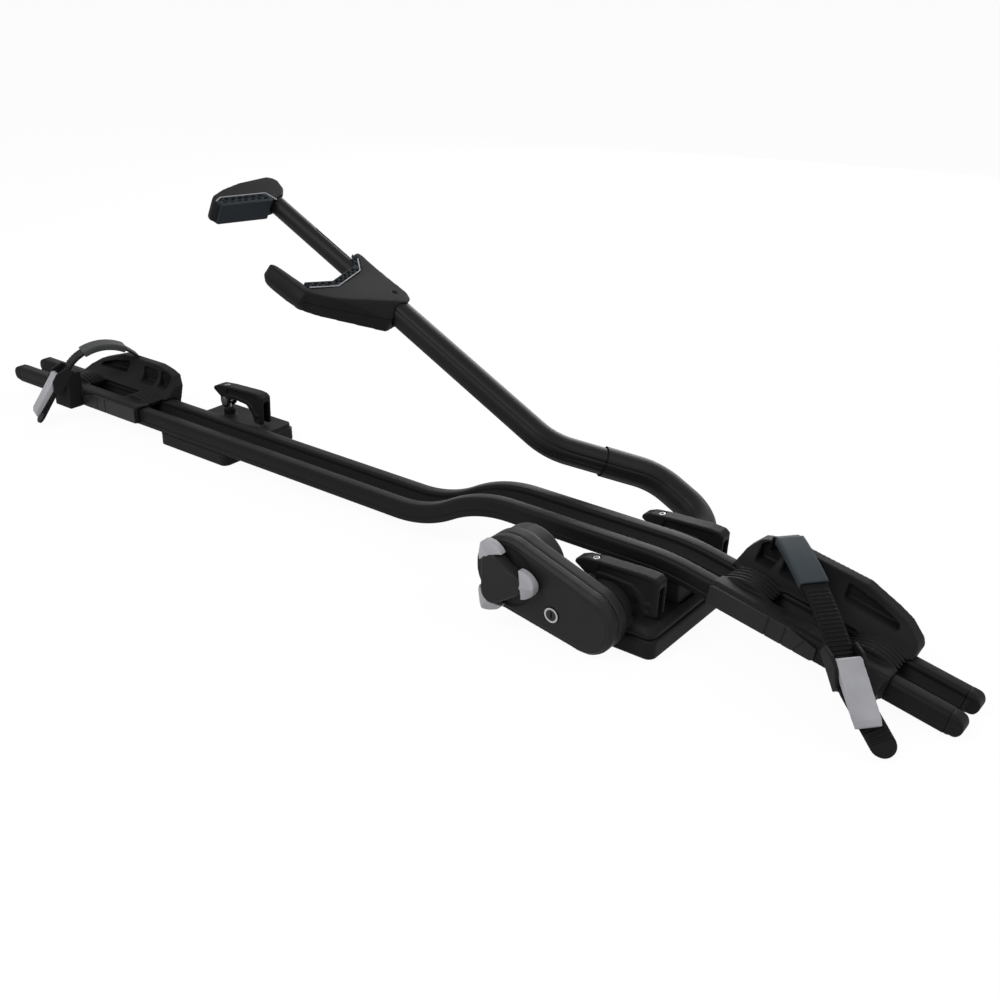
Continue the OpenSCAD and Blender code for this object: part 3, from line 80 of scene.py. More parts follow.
# A bend takes a step for each of so many degrees, and never fewer than so many steps
BEND_STEP, FEWEST_STEPS = 2.5, 6

# The rail's route: straights (length, 0) and bends (radius, degrees), from its rear end
NOSE_ANGLE = 11.6
RAIL_START = Vector((-1074, 0, 28.79)) * MM
RAIL_LEGS = [(749, 0), (165, 30), (165, -30), (170, 0), (240, -NOSE_ANGLE), (272, 0)]
# The near half of the rail's section, and its lower slot: corners (y, z, radius) in millimetres
RAIL_HALF = [
    (-30, -11, 1.8), (-30, -4.6, 0.3), (-29.3, -4.0, 0.3), (-29.3, -3.2, 0.3), (-30, -2.6, 0.3),
    (-30, 11, 5.0), (-13, 11, 4.0), (-12.4, 5, 0.6), (-8, -3, 1.2),
]
RAIL_SLOT = [
    (4, -11, 0.3), (4, -9, 0), (10, -9, 0), (10, -5, 0),
    (-10, -5, 0), (-10, -9, 0), (-4, -9, 0), (-4, -11, 0.3),
]

# The arm's route, from the far end of its cross shaft
PIVOT_HEIGHT = 37 * MM
SHAFT_REACH = 96 * MM
ARM_ANGLE = 27
LOWER_ARM_LEGS = [(45, 90), (21, 0), (60, 41.5), (43, 0)]
TUBE_LEGS = [(66, 0), (60, -41.5), (231.57, 0)]
TUBE_SEAT = (18, 0)
# Round both arm pieces, in millimetres: radii, and the places (degrees) and size of the grooves
LOWER_ARM_RADIUS, TUBE_RADIUS = 17.4, 15.5
GROOVES = (55, 90, 125, 235, 270, 305)
GROOVE_HALF, GROOVE_DEPTH = 1.4, 0.8
RING_SEGMENTS = 144
# The collar where the lower arm takes the cross shaft, in millimetres
CUFF_SIDE, CUFF_RADIUS, CUFF_LENGTH, CUFF_ROUNDING = 93.2, 17.9, 7.4, 0.8
CUFF_SEGMENTS = 72

# The arches scored round the shaft into the front foot's sides, in millimetres and degrees
ARCH_SIDE, ARCH_HEIGHT, ARCH_RADIUS = 88, 37, 26
ARCH_START, ARCH_END = -15, 195
ARCH_WIDTH, ARCH_DEPTH = 1.3, 1.1

# The clamp levers' pivots, in millimetres
LEVERS = {"near": (-23, -62.5, 57), "far": (-23, 62.5, 57), "rear": (-714, 62.5, 46)}
# A lever's recessed sides, seen from its pivot, and the dimple at its tip, in millimetres
LEVER_RECESS = [
    (4, 9.5), (8, 19), (52, 20.5), (66, 20), (70.5, 16),
    (69.5, -5), (61, -6), (56, 3), (46, 9), (18, 10.5),
]
LEVER_SIDE = (5, 10)
LEVER_DEPTH, LEVER_EDGE = 1.6, 1.2
LEVER_DIMPLE, LEVER_DIMPLE_WIDTH = (65, 8, -12), 3.4
# The bright socket in a lever's top, in metres and degrees
SOCKET_HEIGHT, SOCKET_TILT = 0.0192, -5.7
SOCKET_RADIUS, SOCKET_LENGTH, SOCKET_ROUNDING = 0.0037, 0.0046, 0.0005
SOCKET_WALL, SOCKET_DRAFT, SOCKET_DEPTH = 0.0011, 0.0002, 0.0018
SOCKET_SEGMENTS = 24

# The knob housing, in millimetres: the face, and the centre (x, z) and radius of its two ends
FACE = -120
HUB_END = (0, 37, 34)
KNOB_END = (-91, 60, 41)
RIM_INSET, RIM_WIDTH, RIM_DEPTH = 5.5, 1.2, 0.9
# The knob: its lobes in degrees, and the depth (millimetres) and scale of its core's rings
KNOB_LOBES = (6, 117, 241)
CORE_RINGS = ((1, 0.9), (3, 0.97), (12, 1.0), (15.2, 0.985), (16.8, 0.95), (17.4, 0.89))
CORE_WAIST, CORE_SWELL, CORE_POWER = 20.5, 9.5, 1.3
# A grip, in millimetres, with what each measure loses towards its outer end or its sides
GRIP_HALF, GRIP_HALF_LOSS = 15.6, 4
GRIP_INNER, GRIP_INNER_LOSS = 27.5, 3.2
GRIP_OUTER, GRIP_OUTER_LOSS = 43, 7
GRIP_RISE, GRIP_SIDE_LOSS, GRIP_END_LOSS = 17.4, 5.4, 2.6
GRIP_FOOT = 4.6
GRIP_STEPS, GRIP_ACROSS = 10, 16

# The head, in millimetres: its mouth along the arm, the tube's middle across it, both grips' edges
MOUTH, TUBE = 495, 55.2
MOUTH_EDGE = [(505, -34.8), (495, 1.2), (508, 49.2), (526, 62.7)]
JAW_EDGE = [(645, 38.2), (655, -30.8)]
# Three points of the chamfer on its top, and the dimple in its side
CHAMFER = ((434, 17.2, 46), (478, 14.2, -42), (450, 8.5, 0.5))
DIMPLE, DIMPLE_RADIUS = (MOUTH - 46, TUBE + 2), 4
DIMPLE_STEPS, DIMPLE_TURN = 8, 0.785
# The fixed jaw's limb: where it starts, its middle line, and its radii in metres
LIMB_FROM, LIMB_SIDE = MOUTH + 2, TUBE - 86
LIMB_LINE = ((490, 0, -41), (MOUTH + 44, 0, -47))
LIMB_RADIUS, LIMB_TIP = 0.012, 0.0115
LIMB_ROUNDS = 45
# How close to the parting of its shells nothing moves, and the gap of the limb's halves in metres
PARTING, PARTING_GAP = 0.8, 0.00003
ROD_SLOT = [(527, 10, TUBE + 4.6), (584, 10, TUBE + 4.6)]
# The pale lips of both grips, up from the arm's plane and along it
LIP_RADIUS = 0.8
MOUTH_LIP_BACK, MOUTH_LIP_UP = 9, 13.6
JAW_LIP = [(646, 13.2, 46), (661, 13.2, 41), (670, 13.2, -22), (665.5, 13.2, -31.5)]

# The wheel holders' places, and the seams (x, z) on a side panel's face, in millimetres
FRONT_HOLDER, REAR_HOLDER = (81.52, 0, 52.09), (-788, 0, 17.79)
PANEL_FACE = -38.4
SEAMS = (((68.5, -8), (68.5, 32)), ((86.5, -8), (86.5, 32)), ((96.5, 0), (112.5, 30)))
SEAM_WIDTH, SEAM_DEPTH, SEAM_STEP = 1.0, 1.1, 0.4

# The skin of each moulding: its voxels in millimetres, and the rounds that soften its edges.
# A node that isn't named is found by its name without the first word.
SKINS = {
    "front_base": (1.3, 12), "base_cover": (1.2, 20), "rail_saddle": (1.3, 4),
    "rear_foot": (0.95, 2), "lever": (0.74, 6),
    "knob_housing": (1.15, 7), "housing_cover": (1.0, 9),
    "knob_core": (0.6, 4), "knob_grips": (0.45, 2),
    "head_lower_shell": (0.9, 18), "head_upper_shell": (0.9, 16), "upper_jaw": (0.8, 26),
    "lower_jaw_grip": (0.55, 2), "upper_jaw_grip": (0.5, 3), "jaw_rod": (1.1, 1),
    "tray": (1.0, 3), "side_panel": (0.6, 3), "end_cap": (0.7, 9),
    "strap_band": (0.66, 1), "rim_pad": (0.7, 8), "buckle": (0.6, 4), "pump_lever": (0.6, 7),
}

# The camera: sensor in millimetres, shift and nearest distance
SENSOR = 36
SHIFT = (0.0006, -0.0198)
NEAREST = 0.05
# The floor's half width, and how far it lies below the feet
FLOOR_HALF, FLOOR_GAP = 40, 0.0005
# The lamps' places, sizes and powers, and the point that they are turned to
LAMPS = {
    "key": ((-0.6, -1.9, 2.2), 1.8, 55),
    "fill": ((1.9, 0.4, 1.6), 1.6, 18),
    "back": ((-0.9, 2.1, 0.9), 1.8, 36),
}
LAMP_AIM = Vector((-0.35, 0, 0.1))


def colour(name, text, value):
    """A colour that a user would change."""
    return bpy.props.FloatVectorProperty(
        name=name, description=text, subtype="COLOR", size=3, min=0, max=1, default=value)


def length(name, text, value):
    """A length that a user would change."""
    return bpy.props.FloatProperty(
        name=name, description=text, subtype="DISTANCE", unit="LENGTH", min=0, default=value)


class CarrierColours(bpy.types.PropertyGroup):
    """Colours of the finishes."""

    moulded: colour(
        "Moulded black", "Grained plastic of the feet, levers, head and trays",
        (0.0085, 0.0086, 0.0090))
    housing: colour(
        "Housing black", "Grained plastic of the knob and its housing", (0.0105, 0.0107, 0.0112))
    panel: colour("Panel black", "Smoother plastic of the side panels", (0.011, 0.0112, 0.0118))
    anodised: colour(
        "Anodised black", "Aluminium of the rail and the arm", (0.0068, 0.0069, 0.0073))
    pale: colour(
        "Pale grey", "Grips of the knob, pump levers and lips of the jaws", (0.235, 0.236, 0.252))
    jaw_rubber: colour("Jaw rubber", "Rubber of the frame jaw", (0.013, 0.0165, 0.020))
    front_pad: colour("Front rim pad", "Rubber sleeve of the front strap", (0.026, 0.033, 0.038))
    rear_pad: colour("Rear rim pad", "Rubber sleeve of the rear strap", (0.040, 0.041, 0.042))
    foot_rubber: colour("Foot rubber", "Pads under the feet", (0.006, 0.006, 0.0065))
    strap: colour("Strap", "Toothed straps", (0.0050, 0.0051, 0.0055))
    dark_steel: colour("Dark steel", "Rail bolts and the lock's barrel", (0.035, 0.035, 0.037))
    zinc: colour("Zinc", "Plated bolts, nuts and screws", (0.36, 0.365, 0.38))
    lock: colour("Lock", "Bezel of the lock", (0.42, 0.42, 0.43))
    bush: colour("Bush", "Bearing plastic", (0.52, 0.49, 0.41))
    brass: colour("Brass", "Clutch discs", (0.42, 0.28, 0.10))
    floor: colour("Floor", "Studio floor", (0.93, 0.93, 0.93))


class CarrierSizes(bpy.types.PropertyGroup):
    """Sizes of the surface detail."""

    grain: length("Grain", "Spacing of the moulded grain", 0.0011)
    brush: length("Brushing", "Spacing of the drawn lines on aluminium", 0.0006)


class CarrierStage(bpy.types.PropertyGroup):
    """Camera and light."""

    lens: bpy.props.FloatProperty(
        name="Lens", description="Focal length on a 36 mm sensor", unit="CAMERA", default=45.24)
    azimuth: bpy.props.FloatProperty(
        name="Azimuth", description="Turn of the camera about the object",
        subtype="ANGLE", default=math.radians(37.85))
    elevation: bpy.props.FloatProperty(
        name="Elevation", description="Height angle of the camera",
        subtype="ANGLE", default=math.radians(24.60))
    place: bpy.props.FloatVectorProperty(
        name="Place", description="Place of the camera",
        subtype="TRANSLATION", default=(0.57474, -0.98851, 0.66497))
    world: bpy.props.FloatProperty(
        name="World", description="Strength of the even light", min=0, default=0.45)
    white: bpy.props.FloatProperty(
        name="White floor", description="How far the floor is plain white to the camera",
        subtype="FACTOR", min=0, max=1, default=0.95)


SETTINGS = {"colours": CarrierColours, "sizes": CarrierSizes, "stage": CarrierStage}


def colours():
    """The scene's colours."""
    return bpy.context.scene.carrier_colours


def sizes():
    """The scene's sizes of detail."""
    return bpy.context.scene.carrier_sizes


# Materials

# Noise keeps to this part of 0 to 1 nearly everywhere
NOISE_LOW, NOISE_HIGH = 0.3, 0.7


def new_material(name):
    """A material with its shader and the object's coordinates, ready for nodes."""
    material = bpy.data.materials.new(name)
    material.use_nodes = True
    nodes = material.node_tree.nodes
    shader = nodes["Principled BSDF"]
    place = nodes.new("ShaderNodeTexCoord")
    return material, nodes, material.node_tree.links, shader, place.outputs["Object"]


def noise(nodes, links, place, spacing, detail, rough):
    """Noise with one feature about every spacing."""
    node = nodes.new("ShaderNodeTexNoise")
    node.inputs["Scale"].default_value = 1 / spacing
    node.inputs["Detail"].default_value = detail
    node.inputs["Roughness"].default_value = rough
    links.new(place, node.inputs["Vector"])
    return node.outputs["Fac"]


def stretched(nodes, links, place, scale):
    """The object's coordinates, stretched."""
    node = nodes.new("ShaderNodeMapping")
    node.inputs["Scale"].default_value = scale
    links.new(place, node.inputs["Vector"])
    return node.outputs["Vector"]


def span(nodes, links, value, low, high):
    """Spreads a noise over a span."""
    node = nodes.new("ShaderNodeMapRange")
    node.inputs["From Min"].default_value = NOISE_LOW
    node.inputs["From Max"].default_value = NOISE_HIGH
    node.inputs["To Min"].default_value = low
    node.inputs["To Max"].default_value = high
    links.new(value, node.inputs["Value"])
    return node.outputs["Result"]


def tint(nodes, links, shader, value, base, low, high):
    """Lets the colour wander between a darker and a lighter shade of the base."""
    node = nodes.new("ShaderNodeMix")
    node.data_type = "RGBA"
    node.inputs["A"].default_value = (*[c * low for c in base], 1)
    node.inputs["B"].default_value = (*[min(c * high, 1) for c in base], 1)
    links.new(span(nodes, links, value, 0, 1), node.inputs["Factor"])
    links.new(node.outputs["Result"], shader.inputs["Base Color"])


def gloss(nodes, links, shader, value, low, high):
    """Lets the roughness wander between two values."""
    links.new(span(nodes, links, value, low, high), shader.inputs["Roughness"])


def bump(nodes, links, shader, height, depth):
    """Relief of a height map."""
    node = nodes.new("ShaderNodeBump")
    node.inputs["Strength"].default_value = 1.0
    node.inputs["Distance"].default_value = depth
    links.new(height, node.inputs["Height"])
    links.new(node.outputs["Normal"], shader.inputs["Normal"])


def moulded_plastic(name, base, grain, rough, depth, specular=0.14):
    """Injection moulded plastic: grained, with a faint cloudy sheen."""
    material, nodes, links, shader, place = new_material(name)
    fine = noise(nodes, links, place, spacing=grain, detail=3.0, rough=0.6)
    cloud = noise(nodes, links, place, spacing=0.06, detail=3.0, rough=0.55)
    tint(nodes, links, shader, cloud, base, low=0.86, high=1.2)
    gloss(nodes, links, shader, cloud, rough - 0.05, rough + 0.06)
    shader.inputs["Specular IOR Level"].default_value = specular
    bump(nodes, links, shader, fine, depth)
    return material


def anodised(name, base, lines, scale, specular):
    """Drawn and anodised aluminium: faint lines along the piece."""
    material, nodes, links, shader, place = new_material(name)
    along = stretched(nodes, links, place, scale)
    drawn = noise(nodes, links, along, spacing=lines, detail=2.0, rough=0.6)
    cloud = noise(nodes, links, place, spacing=0.09, detail=2.0, rough=0.5)
    tint(nodes, links, shader, cloud, base, low=0.9, high=1.15)
    gloss(nodes, links, shader, drawn, 0.40, 0.50)
    shader.inputs["Specular IOR Level"].default_value = specular
    bump(nodes, links, shader, drawn, depth=0.00003)
    return material


def rubber(name, base, grain, rough=0.68):
    """Rubber: dull, with a bloom."""
    material, nodes, links, shader, place = new_material(name)
    fine = noise(nodes, links, place, spacing=grain, detail=4.0, rough=0.65)
    bloom = noise(nodes, links, place, spacing=0.025, detail=4.0, rough=0.6)
    tint(nodes, links, shader, bloom, base, low=0.88, high=1.18)
    gloss(nodes, links, shader, bloom, rough - 0.06, rough + 0.06)
    shader.inputs["Specular IOR Level"].default_value = 0.09
    bump(nodes, links, shader, fine, depth=0.00008)
    return material


def plated(name, base, rough):
    """Plated or polished metal."""
    material, nodes, links, shader, place = new_material(name)
    spots = noise(nodes, links, place, spacing=0.004, detail=4.0, rough=0.6)
    tint(nodes, links, shader, spots, base, low=0.85, high=1.12)
    gloss(nodes, links, shader, spots, rough - 0.06, rough + 0.08)
    shader.inputs["Metallic"].default_value = 1.0
    bump(nodes, links, shader, spots, depth=0.00002)
    return material


def make_materials():
    """The finish of each of the record's material slots, and of the shades beside them."""
    c = colours()
    grain = sizes().grain
    brush = sizes().brush
    return {
        "rail_metal": anodised(
            "rail_anodised", c.anodised, brush, scale=(0.02, 1, 1), specular=0.06),
        "arm_metal": anodised(
            "arm_anodised", c.anodised, brush, scale=(0.15, 1, 0.3), specular=0.1),
        "black_plastic": moulded_plastic(
            "grained_plastic", c.moulded, grain, rough=0.52, depth=0.00010, specular=0.06),
        "panel_plastic": moulded_plastic(
            "smooth_plastic", c.panel, grain * 0.6, rough=0.42, depth=0.00004),
        "pale_plastic": moulded_plastic(
            "pale_plastic", c.pale, grain * 0.8, rough=0.48, depth=0.00005, specular=0.35),
        "bush_plastic": moulded_plastic(
            "bearing_plastic", c.bush, grain, rough=0.5, depth=0.00004),
        "foot_rubber": rubber("foot_rubber", c.foot_rubber, grain=0.0015, rough=0.75),
        "jaw_rubber": rubber("jaw_rubber", c.jaw_rubber, grain=0.0009),
        "blue_rubber": rubber("slate_rubber", c.front_pad, grain=0.0009, rough=0.5),
        "grey_rubber": rubber("grey_rubber", c.rear_pad, grain=0.0009, rough=0.55),
        "strap_plastic": moulded_plastic(
            "strap_plastic", c.strap, grain * 0.7, rough=0.5, depth=0.00005, specular=0.06),
        "steel": plated("zinc_plate", c.zinc, rough=0.36),
        "lock_metal": plated("polished_lock", c.lock, rough=0.24),
        "clutch_brass": plated("clutch_brass", c.brass, rough=0.34),
        "dark_steel": plated("black_steel", c.dark_steel, rough=0.42),
        "housing_plastic": moulded_plastic(
            "housing_plastic", c.housing, grain, rough=0.5, depth=0.00009, specular=0.13),
    }


MATERIALS = {}
# Nodes that are darker or lighter than the rest of their slot
SHADES = {
    "rail_bolts": "dark_steel", "lock_barrel": "dark_steel", "knob_housing": "housing_plastic",
    "housing_cover": "housing_plastic", "knob_core": "housing_plastic",
}


def finish_of(node):
    """The material of a node: its own shade, or else its slot's."""
    return MATERIALS[SHADES.get(node, SLOT_OF[node])]


# Pieces

def add_detail(name, mesh, body, slot, shade_angle=None):
    """Puts a mesh in the scene on a body, with the finish of a slot."""
    piece = bpy.data.objects.new(name, mesh)
    bpy.context.scene.collection.objects.link(piece)
    mesh.materials.clear()
    mesh.materials.append(MATERIALS[slot])
    if shade_angle is None:
        mesh.shade_smooth()
    else:
        mesh.set_sharp_from_angle(angle=math.radians(shade_angle))
    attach(piece, body)
    return piece


def add_piece(name, mesh, node, shade_angle=None):
    """Puts a mesh in the scene in place of a CAD node."""
    piece = add_detail(name, mesh, BODY_OF[node], SLOT_OF[node], shade_angle)
    mesh.materials[0] = finish_of(node)
    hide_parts(node)
    return piece


def mesh_from(bm, name):
    """Turns a bmesh into a mesh with its faces outwards."""
    bmesh.ops.recalc_face_normals(bm, faces=bm.faces)
    mesh = bpy.data.meshes.new(name)
    bm.to_mesh(mesh)
    bm.free()
    return mesh


def remeshed(bm, voxel):
    """The solids of a bmesh joined into one even skin."""
    mesh = mesh_from(bm, "solids")
    helper = bpy.data.objects.new("solids", mesh)
    bpy.context.scene.collection.objects.link(helper)
    voxels = helper.modifiers.new("Voxels", "REMESH")
    voxels.mode = "VOXEL"
    voxels.voxel_size = voxel
    bpy.context.view_layer.update()
    solved = helper.evaluated_get(bpy.context.evaluated_depsgraph_get())
    skin = bpy.data.meshes.new_from_object(solved)
    bpy.data.objects.remove(helper)
    bpy.data.meshes.remove(mesh)
    bm = bmesh.new()
    bm.from_mesh(skin)
    bpy.data.meshes.remove(skin)
    return bm


def softened(bm, rounds, verts=None):
    """Rounds every edge as a mould leaves it, or only those of some vertices."""
    for _ in range(rounds):
        bmesh.ops.smooth_vert(
            bm, verts=verts or bm.verts, factor=0.5,
            use_axis_x=True, use_axis_y=True, use_axis_z=True)


def node_bmesh(node):
    """A copy of a CAD node's mesh, with its triangles merged."""
    bm = bmesh.new()
    bm.from_mesh(frame["nodes"][node].data)
    bmesh.ops.remove_doubles(bm, verts=bm.verts, dist=MERGE)
    return bm


def edges_of(geom):
    """The edges among what an operator made."""
    return [item for item in geom if isinstance(item, bmesh.types.BMEdge)]


def cut_off(bm, point, normal):
    """Cuts off what lies beyond a plane, and closes the cut."""
    made = bmesh.ops.bisect_plane(
        bm, geom=bm.verts[:] + bm.edges[:] + bm.faces[:], dist=ON_CUT,
        plane_co=point, plane_no=normal, clear_outer=True)["geom_cut"]
    bmesh.ops.holes_fill(bm, edges=edges_of(made))


def add_rod(bm, start, end, radius, tip, segments):
    """Adds a round rod between two points."""
    turn = (end - start).to_track_quat("Z", "Y").to_matrix().to_4x4()
    bmesh.ops.create_cone(
        bm, cap_ends=True, segments=segments, radius1=radius, radius2=tip,
        depth=(end - start).length, matrix=Matrix.Translation((start + end) / 2) @ turn)


def inside_depth(outline, u, v):
    """How far a point lies inside an outline, or 0 outside it."""
    inside = False
    nearest = math.inf
    for (u0, v0), (u1, v1) in zip(outline, outline[1:] + outline[:1]):
        if (v0 > v) != (v1 > v) and u < u0 + (v - v0) * (u1 - u0) / (v1 - v0):
            inside = not inside
        along = (u - u0) * (u1 - u0) + (v - v0) * (v1 - v0)
        along = min(max(along / ((u1 - u0) ** 2 + (v1 - v0) ** 2), 0), 1)
        off = math.hypot(u - u0 - along * (u1 - u0), v - v0 - along * (v1 - v0))
        nearest = min(nearest, off)
    return nearest if inside else 0


def pressed(outline, reach, push, soft):
    """A mark: presses in what lies inside an outline seen along Y, between two values of Y."""
    us = [u for u, v in outline]
    vs = [v for u, v in outline]

    def mark(bm):
        for vert in bm.verts:
            x, y, z = vert.co / MM
            if reach[0] < y < reach[1] and min(us) < x < max(us) and min(vs) < z < max(vs):
                share = min(inside_depth(outline, x, z) / soft, 1)
                vert.co += Vector(push) * MM * share * share * (3 - 2 * share)
    return mark


def scored(points, width, push):
    """A mark: presses in what lies close to points."""
    def mark(bm):
        tree = KDTree(len(points))
        for i, point in enumerate(points):
            tree.insert(Vector(point), i)
        tree.balance()
        for vert in bm.verts:
            far = tree.find(vert.co / MM)[2] / width
            if far < 1:
                vert.co += Vector(push) * MM * (1 - far * far)
    return mark


def slots(path, rows, pitch, size, reach, push, soft=0.6, spare=0.4):
    """Marks: rows of slots along a path, each shifted by half a pitch against the one before.

    A slot's edge is soft wide, and a spare share of a pitch stays free at the end of each leg.
    """
    marks = []
    for a, b in zip(path, path[1:]):
        a, b = Vector(a), Vector(b)
        along = (b - a).normalized()
        side = Vector((-along.y, along.x))
        u, v = along * size[0] / 2, side * size[1] / 2
        for k, row in enumerate(rows):
            at = (0.5 + 0.5 * k) * pitch
            while at < (b - a).length - spare * pitch:
                spot = a + along * at + side * row
                outline = [tuple(spot + p) for p in (u + v, u - v, -u - v, v - u)]
                marks.append(pressed(outline, reach, push, soft))
                at += pitch
    return marks


def eased(inside, rounds):
    """A mark: rounds off what lies inside a region further."""
    def mark(bm):
        softened(bm, rounds, [vert for vert in bm.verts if inside(*(vert.co / MM))])
    return mark


def bead(name, points, radius, place, body, slot):
    """A thin round lip along points, in millimetres, in the frame of a place."""
    bm = bmesh.new()
    for a, b in zip(points, points[1:]):
        add_rod(bm, Vector(a) * MM, Vector(b) * MM, radius * MM, radius * MM, segments=16)
    for point in points:
        bmesh.ops.create_uvsphere(
            bm, u_segments=16, v_segments=10, radius=radius * MM,
            matrix=Matrix.Translation(Vector(point) * MM))
    bm = remeshed(bm, radius * 0.4 * MM)
    softened(bm, 2)
    bmesh.ops.transform(bm, matrix=place, verts=bm.verts)
    return add_detail(name, mesh_from(bm, name), body, slot)


def line(points, step=0.5):
    """Points along a polyline."""
    spots = []
    for a, b in zip(points, points[1:]):
        a, b = Vector(a), Vector(b)
        count = max(1, int((b - a).length / step))
        spots += [a.lerp(b, k / count) for k in range(count)]
    return spots + [Vector(points[-1])]


def circle_line(x, y, z, radius, start, end, steps=72):
    """Points along an arc that faces along Y, in millimetres."""
    turns = [math.radians(start + (end - start) * k / steps) for k in range(steps + 1)]
    return line([(x + radius * math.cos(t), y, z + radius * math.sin(t)) for t in turns])


def moulded(node, marks=(), place=Matrix.Identity(4), cuts=(), free=None, swell=None):
    """A CAD node's shape as one skin with moulded edges.

    Marks, cuts, the swelling and what is free to move are in the frame of a place.
    """
    voxel, rounds = SKINS.get(node) or SKINS[node.split("_", 1)[1]]
    bm = node_bmesh(node)
    bmesh.ops.transform(bm, matrix=place.inverted(), verts=bm.verts)
    if swell:
        swell(bm)
    for point, normal in cuts:
        cut_off(bm, Vector(point) * MM, normal)
    bm = remeshed(bm, voxel * MM)
    moving = [vert for vert in bm.verts if free(*(vert.co / MM))] if free else bm.verts[:]
    softened(bm, rounds, moving)
    for mark in marks:
        mark(bm)
    if marks:
        softened(bm, 1, moving)
    bmesh.ops.transform(bm, matrix=place, verts=bm.verts)
    return add_piece(node + "_moulded", mesh_from(bm, node), node)


def leg_step(leg):
    """Matrix to the end of one leg of a route."""
    size, angle = leg[0] * MM, math.radians(leg[1])
    if leg[1] == 0:
        return Matrix.Translation((size, 0, 0))
    side = math.copysign(1, angle)
    ahead, up = size * math.sin(abs(angle)), side * size * (1 - math.cos(angle))
    return Matrix.Translation((ahead, 0, up)) @ Matrix.Rotation(-angle, 4, "Y")


def route_after(legs):
    """Matrix to the end of several legs."""
    here = Matrix.Identity(4)
    for leg in legs:
        here = here @ leg_step(leg)
    return here


def sweep(bm, edges, legs):
    """Carries a closed loop of edges, in the plane X = 0, along a route that starts along +X."""
    here = Matrix.Identity(4)
    for leg in legs:
        size, angle = leg[0] * MM, math.radians(leg[1])
        if leg[1] == 0:
            made = bmesh.ops.extrude_edge_only(bm, edges=edges)["geom"]
            verts = [item for item in made if isinstance(item, bmesh.types.BMVert)]
            ahead = here.to_3x3() @ Vector((size, 0, 0))
            bmesh.ops.translate(bm, verts=verts, vec=ahead)
        else:
            side = math.copysign(1, angle)
            made = bmesh.ops.spin(
                bm, geom=edges, cent=here @ Vector((0, 0, side * size)),
                axis=here.to_3x3() @ Vector((0, -side, 0)), angle=abs(angle),
                steps=max(FEWEST_STEPS, int(abs(leg[1]) / BEND_STEP)),
                use_duplicate=False)["geom_last"]
        edges = edges_of(made)
        here = here @ leg_step(leg)


def closed_loop(bm, points):
    """Edges of a closed loop through points."""
    verts = [bm.verts.new(p) for p in points]
    return [bm.edges.new((verts[i - 1], verts[i])) for i in range(len(verts))]


def rounded_loop(corners, segments=4):
    """Points of an outline in the plane X = 0; each corner is (y, z, radius) in millimetres."""
    points = []
    count = len(corners)
    for i, (y, z, radius) in enumerate(corners):
        here = Vector((y, z))
        if radius == 0:
            points.append((0, y * MM, z * MM))
            continue
        before = (Vector(corners[i - 1][:2]) - here).normalized()
        after = (Vector(corners[(i + 1) % count][:2]) - here).normalized()
        half = before.angle(after) / 2
        reach = radius / math.tan(half)
        centre = here + (before + after).normalized() * radius / math.sin(half)
        start = here + before * reach - centre
        end = here + after * reach - centre
        turn = start.angle_signed(end)
        for k in range(segments + 1):
            spot = centre + Matrix.Rotation(-turn * k / segments, 2) @ start
            points.append((0, spot.x * MM, spot.y * MM))
    return points


def seen_rays(nodes, links):
    """1 for rays that show the background: from the camera, or off gloss or through glass."""
    path = nodes.new("ShaderNodeLightPath")
    total = path.outputs["Is Camera Ray"]
    for name in ("Is Glossy Ray", "Is Transmission Ray"):
        add = nodes.new("ShaderNodeMath")
        add.operation = "MAXIMUM"
        links.new(total, add.inputs[0])
        links.new(path.outputs[name], add.inputs[1])
        total = add.outputs[0]
    return total


def mixed(nodes, links, share, first, second, target):
    """Sends a mix of two shaders to an output."""
    mix = nodes.new("ShaderNodeMixShader")
    links.new(share, mix.inputs[0])
    links.new(first.outputs[0], mix.inputs[1])
    links.new(second.outputs[0], mix.inputs[2])
    links.new(mix.outputs[0], nodes[target].inputs["Surface"])


